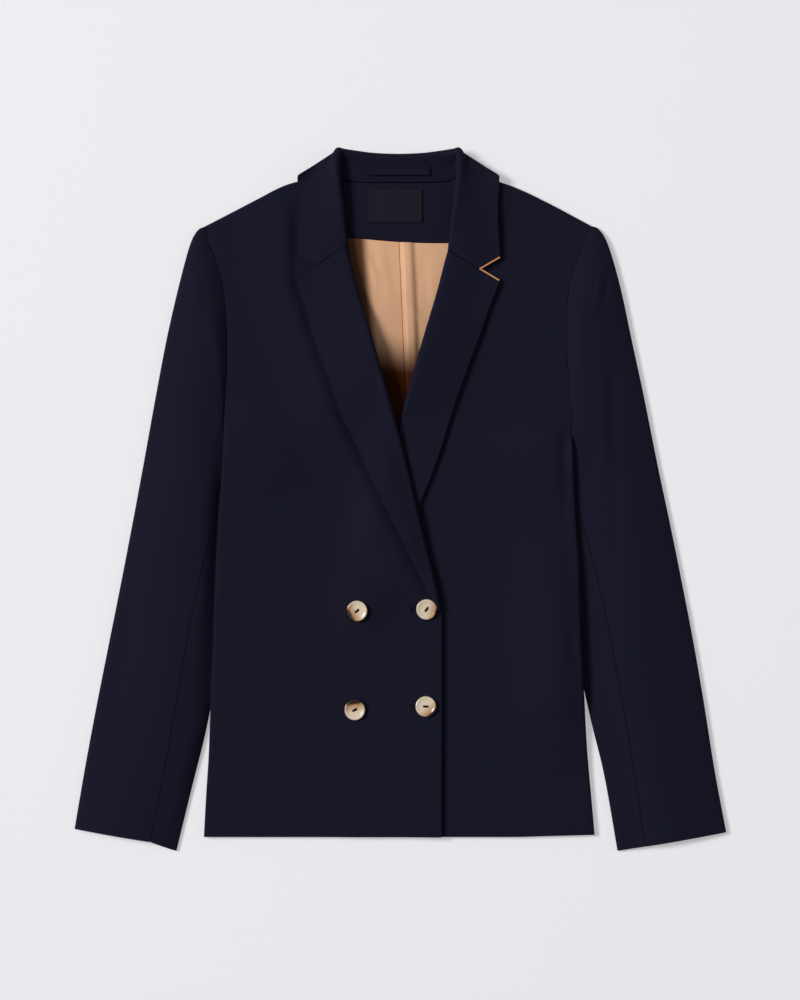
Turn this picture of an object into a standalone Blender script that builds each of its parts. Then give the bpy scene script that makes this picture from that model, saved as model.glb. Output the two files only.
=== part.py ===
"""A double breasted blazer with notch lapels, laid flat on its back.

The frame is in metres: +X points to the wearer's left, +Y up the garment to its
collar, +Z off the surface that it lies on. The origin is under the middle of the
whole outline. Every size and every table below is in millimetres, and the
wearer's right is on the -X side.

Each piece is one sheet of cloth: a grid of points through the middle of its
thickness, which the Solidify modifier makes a wall. The pieces are laid one on
another as they are when the garment is put down: sleeves, back, lining, left
front, right front, collar. A piece that lies on others takes its height from
the height map of what is below it.
"""

import math

import bmesh
import bpy
import numpy as np
from mathutils import Quaternion, Vector

MM = 0.001

# ---- cloth ------------------------------------------------------------------
BACK_WALL = 1.6
FRONT_WALL = 1.6
SLEEVE_WALL = 1.8
FACING_WALL = 1.1
COLLAR_WALL = 1.8
STAND_WALL = 1.4
LINING_WALL = 1.0
LABEL_WALL = 1.0
LOOP_WALL = 1.2
SEAM = 0.35  # gap between two pieces that are sewn edge to edge
EDGE_SEAM = 0.8  # the same gap where both edges turn into the side or shoulder seam
LAY = 0.45  # gap between two pieces that lie on each other

# ---- the body ---------------------------------------------------------------
BODY_GAP = 2.6  # air between the back and a front
FRONT_RISE = BACK_WALL + BODY_GAP + FRONT_WALL / 2  # middle of a front over the floor
HEM_Y = -344.0
UNDERARM_Y = 84.0
BREAK_Y = -98.0  # where the lapel leaves the front edge
GORGE_Y = 262.0  # where the roll line meets the collar
NECK_Y = 342.5  # neck point of the shoulder seam
COLLAR_CENTRE_X = -2.0
FRONT_EDGE_X = 43.3  # the right front's edge, which is on top
UNDERLAP_EDGE_X = -44.8  # the left front's edge, under the right front
ROLL_SPRING = 1.6  # how far a roll line stands up off the chest
BUTTON_RADIUS = 10.9
BUTTON_HEIGHT = 3.4

# Side edge of the body, from the underarm to the hem.
SIDE = [  # y, right x, left x
    (84, -179.6, 174.6),
    (40, -181.0, 176.2),
    (-10, -184.5, 178.5),
    (-70, -188.0, 182.5),
    (-140, -190.4, 184.4),
    (-210, -193.5, 188.0),
    (-260, -195.6, 191.0),
    (-300, -198.2, 194.5),
    (-344, -200.6, 198.2),
]
# Armhole seam, from the shoulder to the underarm.
ARMHOLE = [  # y, right x, left x
    (279, -199.5, 194.5),
    (265, -196.8, 189.0),
    (250, -191.0, 183.0),
    (235, -185.6, 177.2),
    (215, -181.0, 172.2),
    (190, -178.3, 170.0),
    (160, -177.2, 169.5),
    (130, -177.4, 171.3),
    (105, -179.0, 173.8),
    (84, -179.9, 174.9),
]
# Shoulder seam, from the armhole to the neck point.
SHOULDER = [  # share of its length, right x, right y, left x, left y
    (0.00, -199.5, 279.0, 194.5, 279.5),
    (0.26, -163.5, 296.5, 159.0, 298.5),
    (0.62, -114.5, 321.6, 109.5, 321.3),
    (0.72, -101.0, 325.6, 96.0, 325.8),
    (1.00, -66.5, 342.5, 62.5, 342.5),
]
# Roll line, seen from above, which is the outside of the fold.
ROLL = [  # y, right x, left x
    (262, -54.2, 50.4),
    (240, -49.6, 44.4),
    (215, -43.0, 38.0),
    (174, -31.0, 25.8),
    (82, -5.0, 0.0),
    (41, 5.5, -9.6),
    (-6, 16.5, -20.6),
    (-56, 28.5, -32.0),
    (-98, 39.9, -41.9),
]
# Outer edge of the lapel, from its tip to the break.
LAPEL_EDGE = [  # y, right x, left x
    (222, -106.0, 100.5),
    (212, -102.0, 96.6),
    (196, -96.4, 90.2),
    (173, -90.0, 82.2),
    (122, -71.6, 63.5),
    (82, -57.4, 49.8),
    (57, -44.6, 42.4),
    (31, -32.8, 33.2),
    (1, -19.0, 21.4),
    (-29, -4.6, 8.0),
    (-52, 7.0, -3.0),
    (-74, 18.2, -15.0),
    (-92, 26.8, -26.0),
    (-99, 29.8, -30.4),
]
# How much lower a cross thread of the lapel ends than it starts.
LAPEL_SLANT = [  # roll line y, drop
    (262, 40.0),
    (174, 24.0),
    (82, 13.0),
    (-56, 4.0),
    (-98, 0.0),
]
# Half width of the fold along the roll line.
ROLL_RADIUS = [  # roll line y, radius to the middle of the front's cloth
    (262, 2.3),
    (120, 1.9),
    (20, 1.4),
    (-98, 1.15),
]
# Sleeves, a row for each cross section from the armhole to the cuff.
SLEEVE = [  # right outer x, y, right inner x, y, left outer x, y, left inner x, y, height, seam
    (-199.5, 279.0, -180.3, 85.0, 194.5, 279.5, 175.3, 85.0, 5.8, 0.95),
    (-207.0, 274.5, -183.4, 79.0, 202.4, 276.0, 178.2, 79.0, 6.5, 0.95),
    (-214.6, 259.0, -184.8, 71.0, 211.6, 260.0, 179.6, 71.0, 6.9, 0.95),
    (-226.0, 217.0, -185.0, 60.0, 224.0, 217.5, 179.8, 59.0, 6.8, 0.96),
    (-238.0, 165.0, -184.4, 45.0, 235.6, 164.0, 179.2, 43.0, 6.5, 0.96),
    (-250.0, 103.0, -182.6, 22.0, 248.5, 105.0, 177.4, 20.0, 6.2, 0.95),
    (-262.4, 35.0, -179.2, -12.0, 262.0, 38.0, 172.8, -12.0, 6.0, 0.90),
    (-274.2, -28.0, -178.7, -54.0, 276.0, -28.0, 172.2, -54.0, 5.9, 0.80),
    (-286.2, -90.0, -179.8, -108.0, 288.5, -90.0, 174.0, -108.0, 5.9, 0.718),
    (-298.2, -150.0, -186.0, -166.0, 300.0, -150.0, 180.6, -160.0, 5.9, 0.695),
    (-310.5, -212.0, -197.6, -232.0, 310.6, -212.0, 194.2, -224.0, 5.9, 0.70),
    (-322.2, -275.0, -213.6, -297.0, 320.6, -275.0, 208.2, -282.0, 5.9, 0.728),
    (-332.6, -336.0, -228.6, -357.6, 332.6, -338.5, 221.6, -358.0, 5.9, 0.75),
]
SLEEVE_BULGE = 1.1  # the top of a sleeve stands higher in the middle
ELBOW_SEAM = 0.22  # place of the seam on the underside, as a share from the outer edge

# Half of the collar, from the centre back to the gorge. x is the distance from
# the collar's own centre line. The tilt turns from the back, where the stand is
# above and the fall below (0), over the shoulder (90) to the front (180).
COLLAR = [  # neck x, y, fold x, y, fold middle z, radius, tilt, edge x, y, z over what is below
    (0.0, 324.0, 0.0, 351.4, 7.0, 4.0, 22, 0.0, 302.6, 0.0),
    (15.0, 324.0, 15.0, 351.8, 7.0, 4.0, 22, 17.0, 302.6, 0.0),
    (29.0, 324.3, 30.0, 352.8, 7.2, 4.0, 24, 37.0, 303.4, 0.0),
    (42.5, 325.4, 45.5, 354.6, 8.0, 4.0, 32, 61.0, 307.0, 0.0),
    (52.5, 328.6, 56.0, 355.2, 9.4, 4.0, 50, 82.0, 313.6, 0.0),
    (57.8, 333.4, 60.4, 355.2, 10.4, 3.9, 70, 95.0, 321.4, 0.0),
    (60.2, 336.6, 61.6, 352.8, 11.0, 3.8, 90, 101.8, 329.8, 4.6),
    (61.3, 335.6, 61.4, 347.8, 11.4, 3.7, 114, 102.4, 321.0, 0.9),
    (61.5, 327.0, 60.6, 336.0, 11.4, 3.6, 140, 101.4, 309.6, 0.8),
    (60.6, 311.0, 58.6, 318.0, 11.2, 3.4, 156, 100.8, 296.6, 0.8),
    (59.2, 295.0, 56.4, 300.5, 10.8, 3.2, 166, 100.6, 283.0, 0.8),
    (57.7, 279.0, 54.8, 281.4, 10.0, 2.9, 174, 101.4, 268.0, 1.2),
    (56.0, 263.6, 53.1, 263.6, 9.4, 2.7, 180, 102.6, 251.4, 1.8),
]
COLLAR_RIDGE_ROW = 6  # row of the table where the collar crosses the shoulder
COLLAR_TIP = (103.4, 248.4)
COLLAR_BED_HALF = 104.0  # half width of the fall's part that the back lies on
STAND_SHARE = 0.69  # the stand ends here, on its way from the neck seam to the fold
STAND_LAST_KEY = 4.2  # row of the table where the stand ends, under the collar
CUT_LAST_KEY = 5.1  # from here to the front the fall reaches down to the neck seam
NECK_EDGE_GAP = 2.0  # from the collar's neck seam to the front's neck edge
BACK_NECK_HALF = 63.5  # half the width between the back's neck points
NOTCH_SHARE = 0.56  # place of the notch on the lapel's top edge
GORGE_SAG = 4.4  # how far the notch lies below a straight top edge
GORGE_GAP = 1.5  # between the lapel's top edge and the collar
LAPEL_AIR = 1.0  # under the lapel's outer edge

NECK_FACING_HEM = [  # x, y of the lower edge of the back neck facing
    (-74, 268.4),
    (-37, 266.6),
    (-15, 264.6),
    (10, 263.0),
    (70, 262.4),
]
LINING_BOTTOM_Y = 44.0
LINING_PLEAT_X = 0.6  # centre line of the lining, where its pleat lies
LINING_PLEAT_WIDTH = 15.0
LINING_PLEAT_HEIGHT = 0.6
LINING_NARROW_Y = 82.0  # below it the lining is hidden, and only as wide as the opening
LABEL_BOX = (-32.0, 22.0, 282.6, 316.0)  # x0, x1, y0, y1
LOOP_BOX = (-35.0, 29.5, 331.4, 338.6)
PIPING_WIDTH = 1.6
PIPING_WALL = 1.2
BUTTON_SIDES = 16
BUTTON_PROFILE = [  # radius and height as shares, from the middle of the underside
    (0.0, 0.0),
    (0.80, 0.0),
    (1.0, 0.55),
    (0.93, 0.95),
    (0.80, 1.0),
    (0.58, 0.76),
    (0.0, 0.72),
]
BUTTONS = [  # x, y, turn of the two holes in degrees
    ("button_outer_top", -44.0, -113.0, 40),
    ("button_inner_top", 26.6, -111.4, 55),
    ("button_outer_low", -46.4, -214.0, 30),
    ("button_inner_low", 26.0, -210.4, 0),
]

# ---- finishes ---------------------------------------------------------------
FINISHES = {  # red, green, blue, roughness
    "navy_wool": (0.0105, 0.0105, 0.0225, 0.86),
    "satin_lining": (0.565, 0.296, 0.170, 0.42),
    "woven_label": (0.0116, 0.0123, 0.0205, 0.62),
    "horn_button": (0.79, 0.66, 0.50, 0.30),
    "copper_piping": (0.70, 0.32, 0.12, 0.45),
}


# ---- curves -----------------------------------------------------------------
def smooth(t):
    """0 below t = 0, 1 above t = 1, and an even S between them."""
    t = np.clip(t, 0.0, 1.0)
    return t * t * (3.0 - 2.0 * t)


def through(keys, values, at):
    """A smooth curve through the values, read at the given keys."""
    keys, values = np.asarray(keys, float), np.asarray(values, float)
    if keys[0] > keys[-1]:
        keys, values = keys[::-1], values[::-1]
    slopes = np.gradient(values, keys, axis=0)
    at = np.clip(np.asarray(at, float), keys[0], keys[-1])
    i = np.clip(np.searchsorted(keys, at) - 1, 0, len(keys) - 2)
    step = keys[i + 1] - keys[i]
    t = (at - keys[i]) / step
    if values.ndim > 1:
        t, step = t[..., None], step[..., None]
    before, after = (1 + 2 * t) * (1 - t) ** 2, t * t * (3 - 2 * t)
    lean = t * (1 - t) ** 2 * step * slopes[i] - t * t * (1 - t) * step * slopes[i + 1]
    return before * values[i] + after * values[i + 1] + lean


def column(table, number):
    """One column of a table."""
    return np.array([row[number] for row in table], float)


def side_column(side):
    """Column of the wearer's right (side -1) or left (side 1) in a y, right, left table."""
    return 1 if side < 0 else 2


def x_at(table, side, y):
    """x on a y, right, left table."""
    return through(column(table, 0), column(table, side_column(side)), y)


def bezier(points, t):
    """A cubic curve with four guide points, read at the shares t."""
    t = np.asarray(t, float)[:, None]
    a, b, c, d = (np.asarray(p, float) for p in points)
    return (1 - t) ** 3 * a + 3 * t * (1 - t) ** 2 * b + 3 * t * t * (1 - t) * c + t**3 * d


# ---- height maps ------------------------------------------------------------
class HeightMap:
    """How high the pieces laid so far reach, over a square raster."""

    CELL = 4.0
    HALF_X = 360.0
    HALF_Y = 380.0

    def __init__(self, z=None):
        self.columns = int(2 * self.HALF_X / self.CELL) + 1
        self.rows = int(2 * self.HALF_Y / self.CELL) + 1
        self.z = np.zeros((self.rows, self.columns)) if z is None else z

    def cells(self):
        """x and y of every cell."""
        x = -self.HALF_X + self.CELL * np.arange(self.columns)
        y = -self.HALF_Y + self.CELL * np.arange(self.rows)
        return np.meshgrid(x, y)

    def add(self, grid, half_wall, keep=None):
        """Raise the map to the top of a grid of points."""
        fine = 12
        rows = np.linspace(0, grid.shape[0] - 1, fine * (grid.shape[0] - 1) + 1)
        cols = np.linspace(0, grid.shape[1] - 1, fine * (grid.shape[1] - 1) + 1)
        i, j = np.minimum(rows.astype(int), grid.shape[0] - 2), np.minimum(
            cols.astype(int), grid.shape[1] - 2
        )
        s, t = (rows - i)[:, None, None], (cols - j)[None, :, None]
        dense = (
            grid[np.ix_(i, j)] * (1 - s) * (1 - t)
            + grid[np.ix_(i + 1, j)] * s * (1 - t)
            + grid[np.ix_(i, j + 1)] * (1 - s) * t
            + grid[np.ix_(i + 1, j + 1)] * s * t
        ).reshape(-1, 3)
        if keep is not None:
            dense = dense[keep(dense[:, 0], dense[:, 1])]
        col = np.rint((dense[:, 0] + self.HALF_X) / self.CELL).astype(int)
        row = np.rint((dense[:, 1] + self.HALF_Y) / self.CELL).astype(int)
        np.maximum.at(self.z, (row, col), dense[:, 2] + half_wall)

    def draped(self, reach=16.0):
        """The map as cloth spans it: never lower, with no step steeper than the reach."""
        n = int(round(reach / self.CELL))
        steps = range(-n, n + 1)
        disc = [(a, b) for a in steps for b in steps if a * a + b * b <= n * n + 1]
        high = np.max([np.roll(self.z, shift, (0, 1)) for shift in disc], axis=0)
        return HeightMap(np.mean([np.roll(high, shift, (0, 1)) for shift in disc], axis=0))

    def at(self, x, y):
        """The height at points x, y."""
        col = np.clip((np.asarray(x) + self.HALF_X) / self.CELL, 0, self.columns - 1.001)
        row = np.clip((np.asarray(y) + self.HALF_Y) / self.CELL, 0, self.rows - 1.001)
        i, j = row.astype(int), col.astype(int)
        s, t = row - i, col - j
        low = self.z[i, j] * (1 - t) + self.z[i, j + 1] * t
        high = self.z[i + 1, j] * (1 - t) + self.z[i + 1, j + 1] * t
        return low * (1 - s) + high * s


# ---- making objects ---------------------------------------------------------
def finish(name):
    """The material with that name."""
    made = bpy.data.materials.get(name)
    if made is None:
        made = bpy.data.materials.new(name)
        made.use_nodes = True
        red, green, blue, rough = FINISHES[name]
        shader = made.node_tree.nodes["Principled BSDF"]
        shader.inputs["Base Color"].default_value = (red, green, blue, 1.0)
        shader.inputs["Roughness"].default_value = rough
        made.diffuse_color = (red, green, blue, 1.0)
    return made


def cloth(name, grids, wall, material, flip=False):
    """A wall of cloth on grids of points, which share the points that coincide."""
    mesh = bpy.data.meshes.new(name)
    work = bmesh.new()
    for grid in grids:
        points = [[work.verts.new(p * MM) for p in row] for row in grid]
        for upper, lower in zip(points[1:], points[:-1]):
            for a, b, c, d in zip(lower[:-1], lower[1:], upper[1:], upper[:-1]):
                work.faces.new((d, c, b, a) if flip else (a, b, c, d))
    bmesh.ops.remove_doubles(work, verts=work.verts, dist=0.02 * MM)
    work.to_mesh(mesh)
    work.free()
    piece = bpy.data.objects.new(name, mesh)
    bpy.context.scene.collection.objects.link(piece)
    mesh.materials.append(finish(material))
    mesh.shade_smooth()
    thick = piece.modifiers.new("wall", "SOLIDIFY")
    thick.thickness = wall * MM
    thick.offset = 0.0
    thick.use_rim = True
    return piece


def grid_of(*xyz):
    """One grid of points from grids of x, y and z."""
    return np.stack(np.broadcast_arrays(*xyz), axis=-1).astype(float)


# ---- sleeves ----------------------------------------------------------------
SLEEVE_KEYS = [0, 0.5, 1, 1.5, 2, 3, 4, 5, 6, 7, 8, 9, 10, 11, 12]  # rows of the table
TOP_COLUMNS = 6
BOTTOM_COLUMNS = 3
EDGE_TURNS = np.sin(np.radians([45, 0, -45]))  # points round the fold of a sleeve's edge
FLAT_EDGE = 0.03  # share of the width that the fold takes


def sleeve_point(side, key, q, turn):
    """A point on the middle of a sleeve's wall.

    key is the row of the table, q runs across from the outer edge (0) to the inner
    edge (1), and turn from the top (1) round to the underside (-1).
    """
    first = 0 if side < 0 else 4
    table = np.array([row[first : first + 4] + row[8:9] for row in SLEEVE], float)
    ox, oy, ix, iy, height = through(np.arange(len(SLEEVE)), table, [key])[0]
    share = key / (len(SLEEVE) - 1)
    height += SLEEVE_BULGE * math.sin(math.pi * q) * smooth(share * 8)
    radius = (height - SLEEVE_WALL) / 2
    inset = SLEEVE_WALL / 2 + radius * (1 - math.sqrt(max(0.0, 1 - turn * turn)))
    inset /= math.hypot(ix - ox, iy - oy)
    q = min(max(q, inset), 1 - inset)
    x, y = ox + (ix - ox) * q, oy + (iy - oy) * q
    top_y, low_y = ARMHOLE[0][0], ARMHOLE[-1][0]
    straight = x_at(ARMHOLE, side, top_y) * (1 - q) + x_at(ARMHOLE, side, low_y) * q
    bow = x_at(ARMHOLE, side, top_y + (low_y - top_y) * q) - straight
    x += bow * (1 - smooth(share * 5)) + side * EDGE_SEAM * (key == 0)
    return x, y, SLEEVE_WALL / 2 + radius * (1 + turn)


def sleeve_grids(side):
    """Grids of the upper and the under sleeve, cut at the front and the elbow seam."""
    upper, under = [], []
    for key in SLEEVE_KEYS:
        seam = float(through(np.arange(len(SLEEVE)), column(SLEEVE, 9), key))
        gap = SEAM / 2 / 110
        low = ELBOW_SEAM
        path = [(q, 1.0) for q in np.linspace(seam - gap, FLAT_EDGE, TOP_COLUMNS)]
        path += [(0.0, turn) for turn in EDGE_TURNS]
        path += [(q, -1.0) for q in np.linspace(FLAT_EDGE, low - gap, BOTTOM_COLUMNS)]
        upper.append([sleeve_point(side, key, q, turn) for q, turn in path])
        inner = max(1 - FLAT_EDGE, seam + 2 * gap)
        path = [(q, 1.0) for q in np.linspace(seam + gap, inner, BOTTOM_COLUMNS)]
        path += [(1.0, turn) for turn in EDGE_TURNS]
        path += [(q, -1.0) for q in np.linspace(1 - FLAT_EDGE, low + gap, TOP_COLUMNS)]
        under.append([sleeve_point(side, key, q, turn) for q, turn in path])
    return np.array(upper), np.array(under)


# ---- the panels of the body -------------------------------------------------
EDGE_RADIUS = (FRONT_RISE - BACK_WALL / 2) / 2  # of the fold at the side and shoulder
EDGE_ANGLES = np.radians([90, 60, 30, 0])  # points on each quarter of that fold
NEXT_COLUMN = 22.0  # from the side edge to the next points of either panel
FACING_OUT = FRONT_WALL / 2 + 0.3 + FACING_WALL / 2  # facing's middle from the front's
LOW_YS = [HEM_Y, -300.0, -250.0, -200.0, -156.0, -128.0, -108.0]
LAPEL_YS = np.linspace(BREAK_Y, GORGE_Y, 14)
NECK_YS = np.linspace(GORGE_Y, NECK_Y, 5)[1:]
FRONT_COLUMNS = 11
SHOULDER_ROWS = 11  # rows below the shoulder that bend to its slope
BACK_SHOULDER_COLUMNS = 4
BACK_NECK_SHARES = np.array([-1, -0.9, -0.8, -0.5, 0, 0.5, 0.8, 0.9, 1])


def side_x(side, y):
    """The outer edge of the body at y: side seam, then armhole."""
    if y < UNDERARM_Y:
        return float(x_at(SIDE, side, y))
    return float(x_at(ARMHOLE, side, y))


def shoulder_xy(side, share):
    """A point on the shoulder seam, from the armhole (0) to the neck point (1)."""
    first = 1 if side < 0 else 3
    table = np.array([row[first : first + 2] for row in SHOULDER], float)
    return through(column(SHOULDER, 0), table, share)


def shoulder_y(x):
    """The shoulder seam's y at any x."""
    x = np.asarray(x, float)
    right = through(column(SHOULDER, 1), column(SHOULDER, 2), x)
    left = through(column(SHOULDER, 3), column(SHOULDER, 4), x)
    return np.where(x < 0, right, left)


def roll_normal(side, y):
    """Unit direction across the roll line, towards the opening."""
    y0, y1 = max(y - 3.0, BREAK_Y), min(y + 3.0, GORGE_Y)
    slope = float(x_at(ROLL, side, y1) - x_at(ROLL, side, y0)) / (y1 - y0)
    slope = min(max(slope, -0.4), 0.4)
    length = math.hypot(1, slope)
    return -side / length, side * slope / length


def fold_start(side, y):
    """Plan of the line where a front starts to turn over into its lapel."""
    nx, ny = roll_normal(side, y)
    back = float(roll_radius(y)) + FACING_OUT + FACING_WALL / 2
    return float(x_at(ROLL, side, y)) - nx * back, y - ny * back


def roll_radius(y):
    """Radius of the fold at roll line height y."""
    return through(column(ROLL_RADIUS, 0), column(ROLL_RADIUS, 1), y)


def neck_edge_x(side, y):
    """The front's neck edge, between the gorge and the neck point."""
    neck = np.array([row[:2] for row in COLLAR[COLLAR_RIDGE_ROW:]], float)
    return COLLAR_CENTRE_X + side * (float(through(neck[:, 1], neck[:, 0], y)) + NECK_EDGE_GAP)


def side_rows():
    """y of every row of a front, at its inner edge and at its side edge."""
    inner = np.concatenate([LOW_YS, LAPEL_YS, NECK_YS])
    squeeze = (SHOULDER[0][2] - UNDERARM_Y) / (NECK_Y - UNDERARM_Y)
    return inner, np.where(inner < UNDERARM_Y, inner, UNDERARM_Y + (inner - UNDERARM_Y) * squeeze)


def front_plan(side):
    """x and y of a front's panel, rows from hem to shoulder, columns from side to edge."""
    edge_x = FRONT_EDGE_X if side < 0 else UNDERLAP_EDGE_X
    across = 1 - (1 - np.linspace(0, 1, FRONT_COLUMNS)) ** 1.25
    rows = []
    for y, y0 in zip(*side_rows()):
        if y < BREAK_Y:
            x1, y1 = edge_x, y
        elif y <= GORGE_Y:
            x1, y1 = fold_start(side, y)
        else:
            x1, y1 = neck_edge_x(side, y), y
        x0 = side_x(side, y0)
        rows.append([(x0 + (x1 - x0) * u, y0 + (y1 - y0) * u) for u in across])
    plan = np.array(rows)
    top = shoulder_xy(side, across)
    top[-1] = plan[-1, -1]
    return bent_to(plan, top)


def bent_to(plan, top):
    """Bend a panel's upper rows until its last row is the given one."""
    count = len(plan)
    rise = smooth((np.arange(count) - (count - 1 - SHOULDER_ROWS)) / SHOULDER_ROWS)
    return plan + rise[:, None, None] * (top - plan[-1])[None]


def turned_edge(corner, inward, side, wall):
    """Points round a panel's side edge: x, y and how far they leave the panel's plane."""
    x, y = corner
    slope = (inward[1] - y) / abs(inward[0] - x)
    sewn = float(smooth((UNDERARM_Y - y) / 16.0))  # the armhole edge stays flat
    points = []
    for angle in EDGE_ANGLES[:-1]:
        back = 1 - math.sin(angle)
        inset = sewn * (wall / 2 + EDGE_RADIUS * back) + (1 - sewn) * (0.4 + 2.4 * back)
        leave = EDGE_RADIUS * (1 - math.cos(angle)) - EDGE_SEAM / 2 * math.sin(angle)
        points.append((x - side * inset, y + slope * inset, leave * sewn))
    for inset in (wall / 2 + EDGE_RADIUS + 2.0, NEXT_COLUMN):
        points.append((x - side * inset, y + slope * inset, 0.0))
    return points


def turned_top(grid, wall, sewn):
    """The grid with its last row turned round the shoulder line where sewn is 1."""
    last, before = grid[-1], grid[-2]
    inward = before[:, :2] - last[:, :2]
    inward /= np.linalg.norm(inward, axis=1, keepdims=True)
    turned = []
    for angle in EDGE_ANGLES[::-1]:
        back = 1 - math.sin(angle)
        inset = sewn * (wall / 2 + EDGE_RADIUS * back) + (1 - sewn) * (0.4 + 2.0 * back)
        row = last.copy()
        row[:, :2] += inward * np.reshape(inset, (-1, 1))
        leave = EDGE_RADIUS * (1 - math.cos(angle)) - EDGE_SEAM / 2 * math.sin(angle)
        row[:, 2] = np.maximum(row[:, 2], leave * sewn)
        turned.append(row)
    return np.concatenate([grid[:-1], np.array(turned)])


def front_panel(side, level):
    """Grid of a front without its lapel; side and shoulder edges turn down."""
    rows = []
    for row in front_plan(side):
        flat = [(x, y, 0.0) for x, y in row[2:]]
        rows.append(turned_edge(row[0], row[2], side, FRONT_WALL) + flat)
    grid = turned_top(np.array(rows), FRONT_WALL, np.ones(len(rows[0])))
    x, y, leave = np.moveaxis(grid, -1, 0)
    return grid_of(x, y, level(x, y) - leave)


def back_panel(level):
    """Grid of the back, in one piece; side and shoulder edges turn up."""
    ys = [y for k, y in enumerate(side_rows()[1]) if y > 30 or y < -190 or k % 2 == 0]
    n = BACK_SHOULDER_COLUMNS
    right = shoulder_xy(-1, np.linspace(0, 1, n + 1))
    left = shoulder_xy(1, np.linspace(1, 0, n + 1))
    curve = np.array([row[:2] for row in COLLAR[: COLLAR_RIDGE_ROW + 1]], float)
    reach = abs(BACK_NECK_SHARES[1:-1]) * BACK_NECK_HALF
    neck_y = through(curve[:, 0], curve[:, 1], reach) - NECK_EDGE_GAP / 2
    neck = np.stack([COLLAR_CENTRE_X + BACK_NECK_SHARES[1:-1] * BACK_NECK_HALF, neck_y], axis=1)
    top = np.concatenate([right, neck, left])
    share = np.linspace(0, 1, len(top))
    plan = []
    for y in ys:
        x0, x1 = side_x(-1, y), side_x(1, y)
        plan.append([(x0 + (x1 - x0) * u, y) for u in share])
    rows = []
    for row in bent_to(np.array(plan), top):
        flat = [(x, y, 0.0) for x, y in row[2:-2]]
        first = turned_edge(row[0], row[2], -1, BACK_WALL)
        last = turned_edge(row[-1], row[-3], 1, BACK_WALL)
        rows.append(first + flat + last[::-1])
    sewn = np.ones(len(rows[0]))
    sewn[n + len(EDGE_ANGLES) : -n - len(EDGE_ANGLES)] = 0.0
    grid = turned_top(np.array(rows), BACK_WALL, sewn)
    x, y, leave = np.moveaxis(grid, -1, 0)
    return grid_of(x, y, level(x, y) + leave)


# ---- the lapel --------------------------------------------------------------
FOLD_STEPS = 4
LAPEL_ACROSS = np.array([0.0, 0.14, 0.34, NOTCH_SHARE, 0.78, 1.0])


def lapel_air(side, u, x, y, radius):
    """Air between a lapel and its front: the roll's at the fold, less at the edge."""
    spring = 2 * radius - FRONT_WALL
    free = LAPEL_AIR
    if side > 0:  # under the right front the left lapel is pressed flat
        open_share = smooth((x - x_at(ROLL, -1, y) + 15) / 30.0)
        free = LAY + (LAPEL_AIR - LAY) * open_share
        spring = 0.7 + (spring - 0.7) * open_share
    return spring + (free - spring) * smooth(u / 0.6)


def lapel_line(side, y):
    """Plan of one cross thread of the lapel, from the fold to the outer edge."""
    start = np.array(fold_start(side, y))
    drop = float(through(column(LAPEL_SLANT, 0), column(LAPEL_SLANT, 1), y))
    edge_y = max(y - drop, LAPEL_EDGE[-1][0])
    edge = np.array((float(x_at(LAPEL_EDGE, side, edge_y)), edge_y))
    u = LAPEL_ACROSS[:, None]
    line = start + (edge - start) * u
    sag = np.minimum(LAPEL_ACROSS / NOTCH_SHARE, (1 - LAPEL_ACROSS) / (1 - NOTCH_SHARE))
    line[:, 1] -= GORGE_SAG * sag * smooth((y - GORGE_Y + 110) / 110.0)
    return line


def lapel_grid(side, level, out=0.0, past=0.0):
    """The fold and the lapel of a front, or the facing that lies out from it."""
    rows = []
    for y in LAPEL_YS:
        line = lapel_line(side, y)
        cx, cy = line[0]
        nx, ny = roll_normal(side, y)
        radius = float(roll_radius(y))
        ground = float(level(cx, cy))
        first = math.acos((radius + (FRONT_WALL - FACING_WALL) / 2) / (radius + out)) if out else 0.0
        row = []
        for angle in np.linspace(first, math.pi, FOLD_STEPS + 1)[:-1]:
            reach = (radius + out) * math.sin(angle)
            lift = radius - (radius + out) * math.cos(angle)
            row.append((cx + nx * reach, cy + ny * reach, ground + lift))
        end = line[-1] - line[-2]
        line[-1] += past * end / np.linalg.norm(end)
        for u, (x, py) in zip(LAPEL_ACROSS, line):
            air = float(lapel_air(side, u, x, py, radius))
            row.append((x, py, float(level(x, py)) + FRONT_WALL + air + out))
        rows.append(row)
    return np.array(rows)


# ---- the collar -------------------------------------------------------------
COLLAR_KEYS = [0, 1, 2, 3, 4, 4.2, 5.1, 5.6, 6, 6.5, 7, 8, 9, 10, 11, 12]  # rows of the table
STAND_COLUMNS = 4
ROLL_COLUMNS = 7
FALL_COLUMNS = 6
NOTCH_KNEE = 3  # column of the fall that ends in the notch


def spaced(line, start, end, count):
    """Points at even steps along a dense line, between two shares of its length."""
    steps = np.linalg.norm(np.diff(line, axis=0), axis=1)
    length = np.concatenate([[0.0], np.cumsum(steps)])
    at = np.linspace(start, end, count) * length[-1]
    return np.stack([np.interp(at, length, line[:, k]) for k in range(3)], axis=1)


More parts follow.
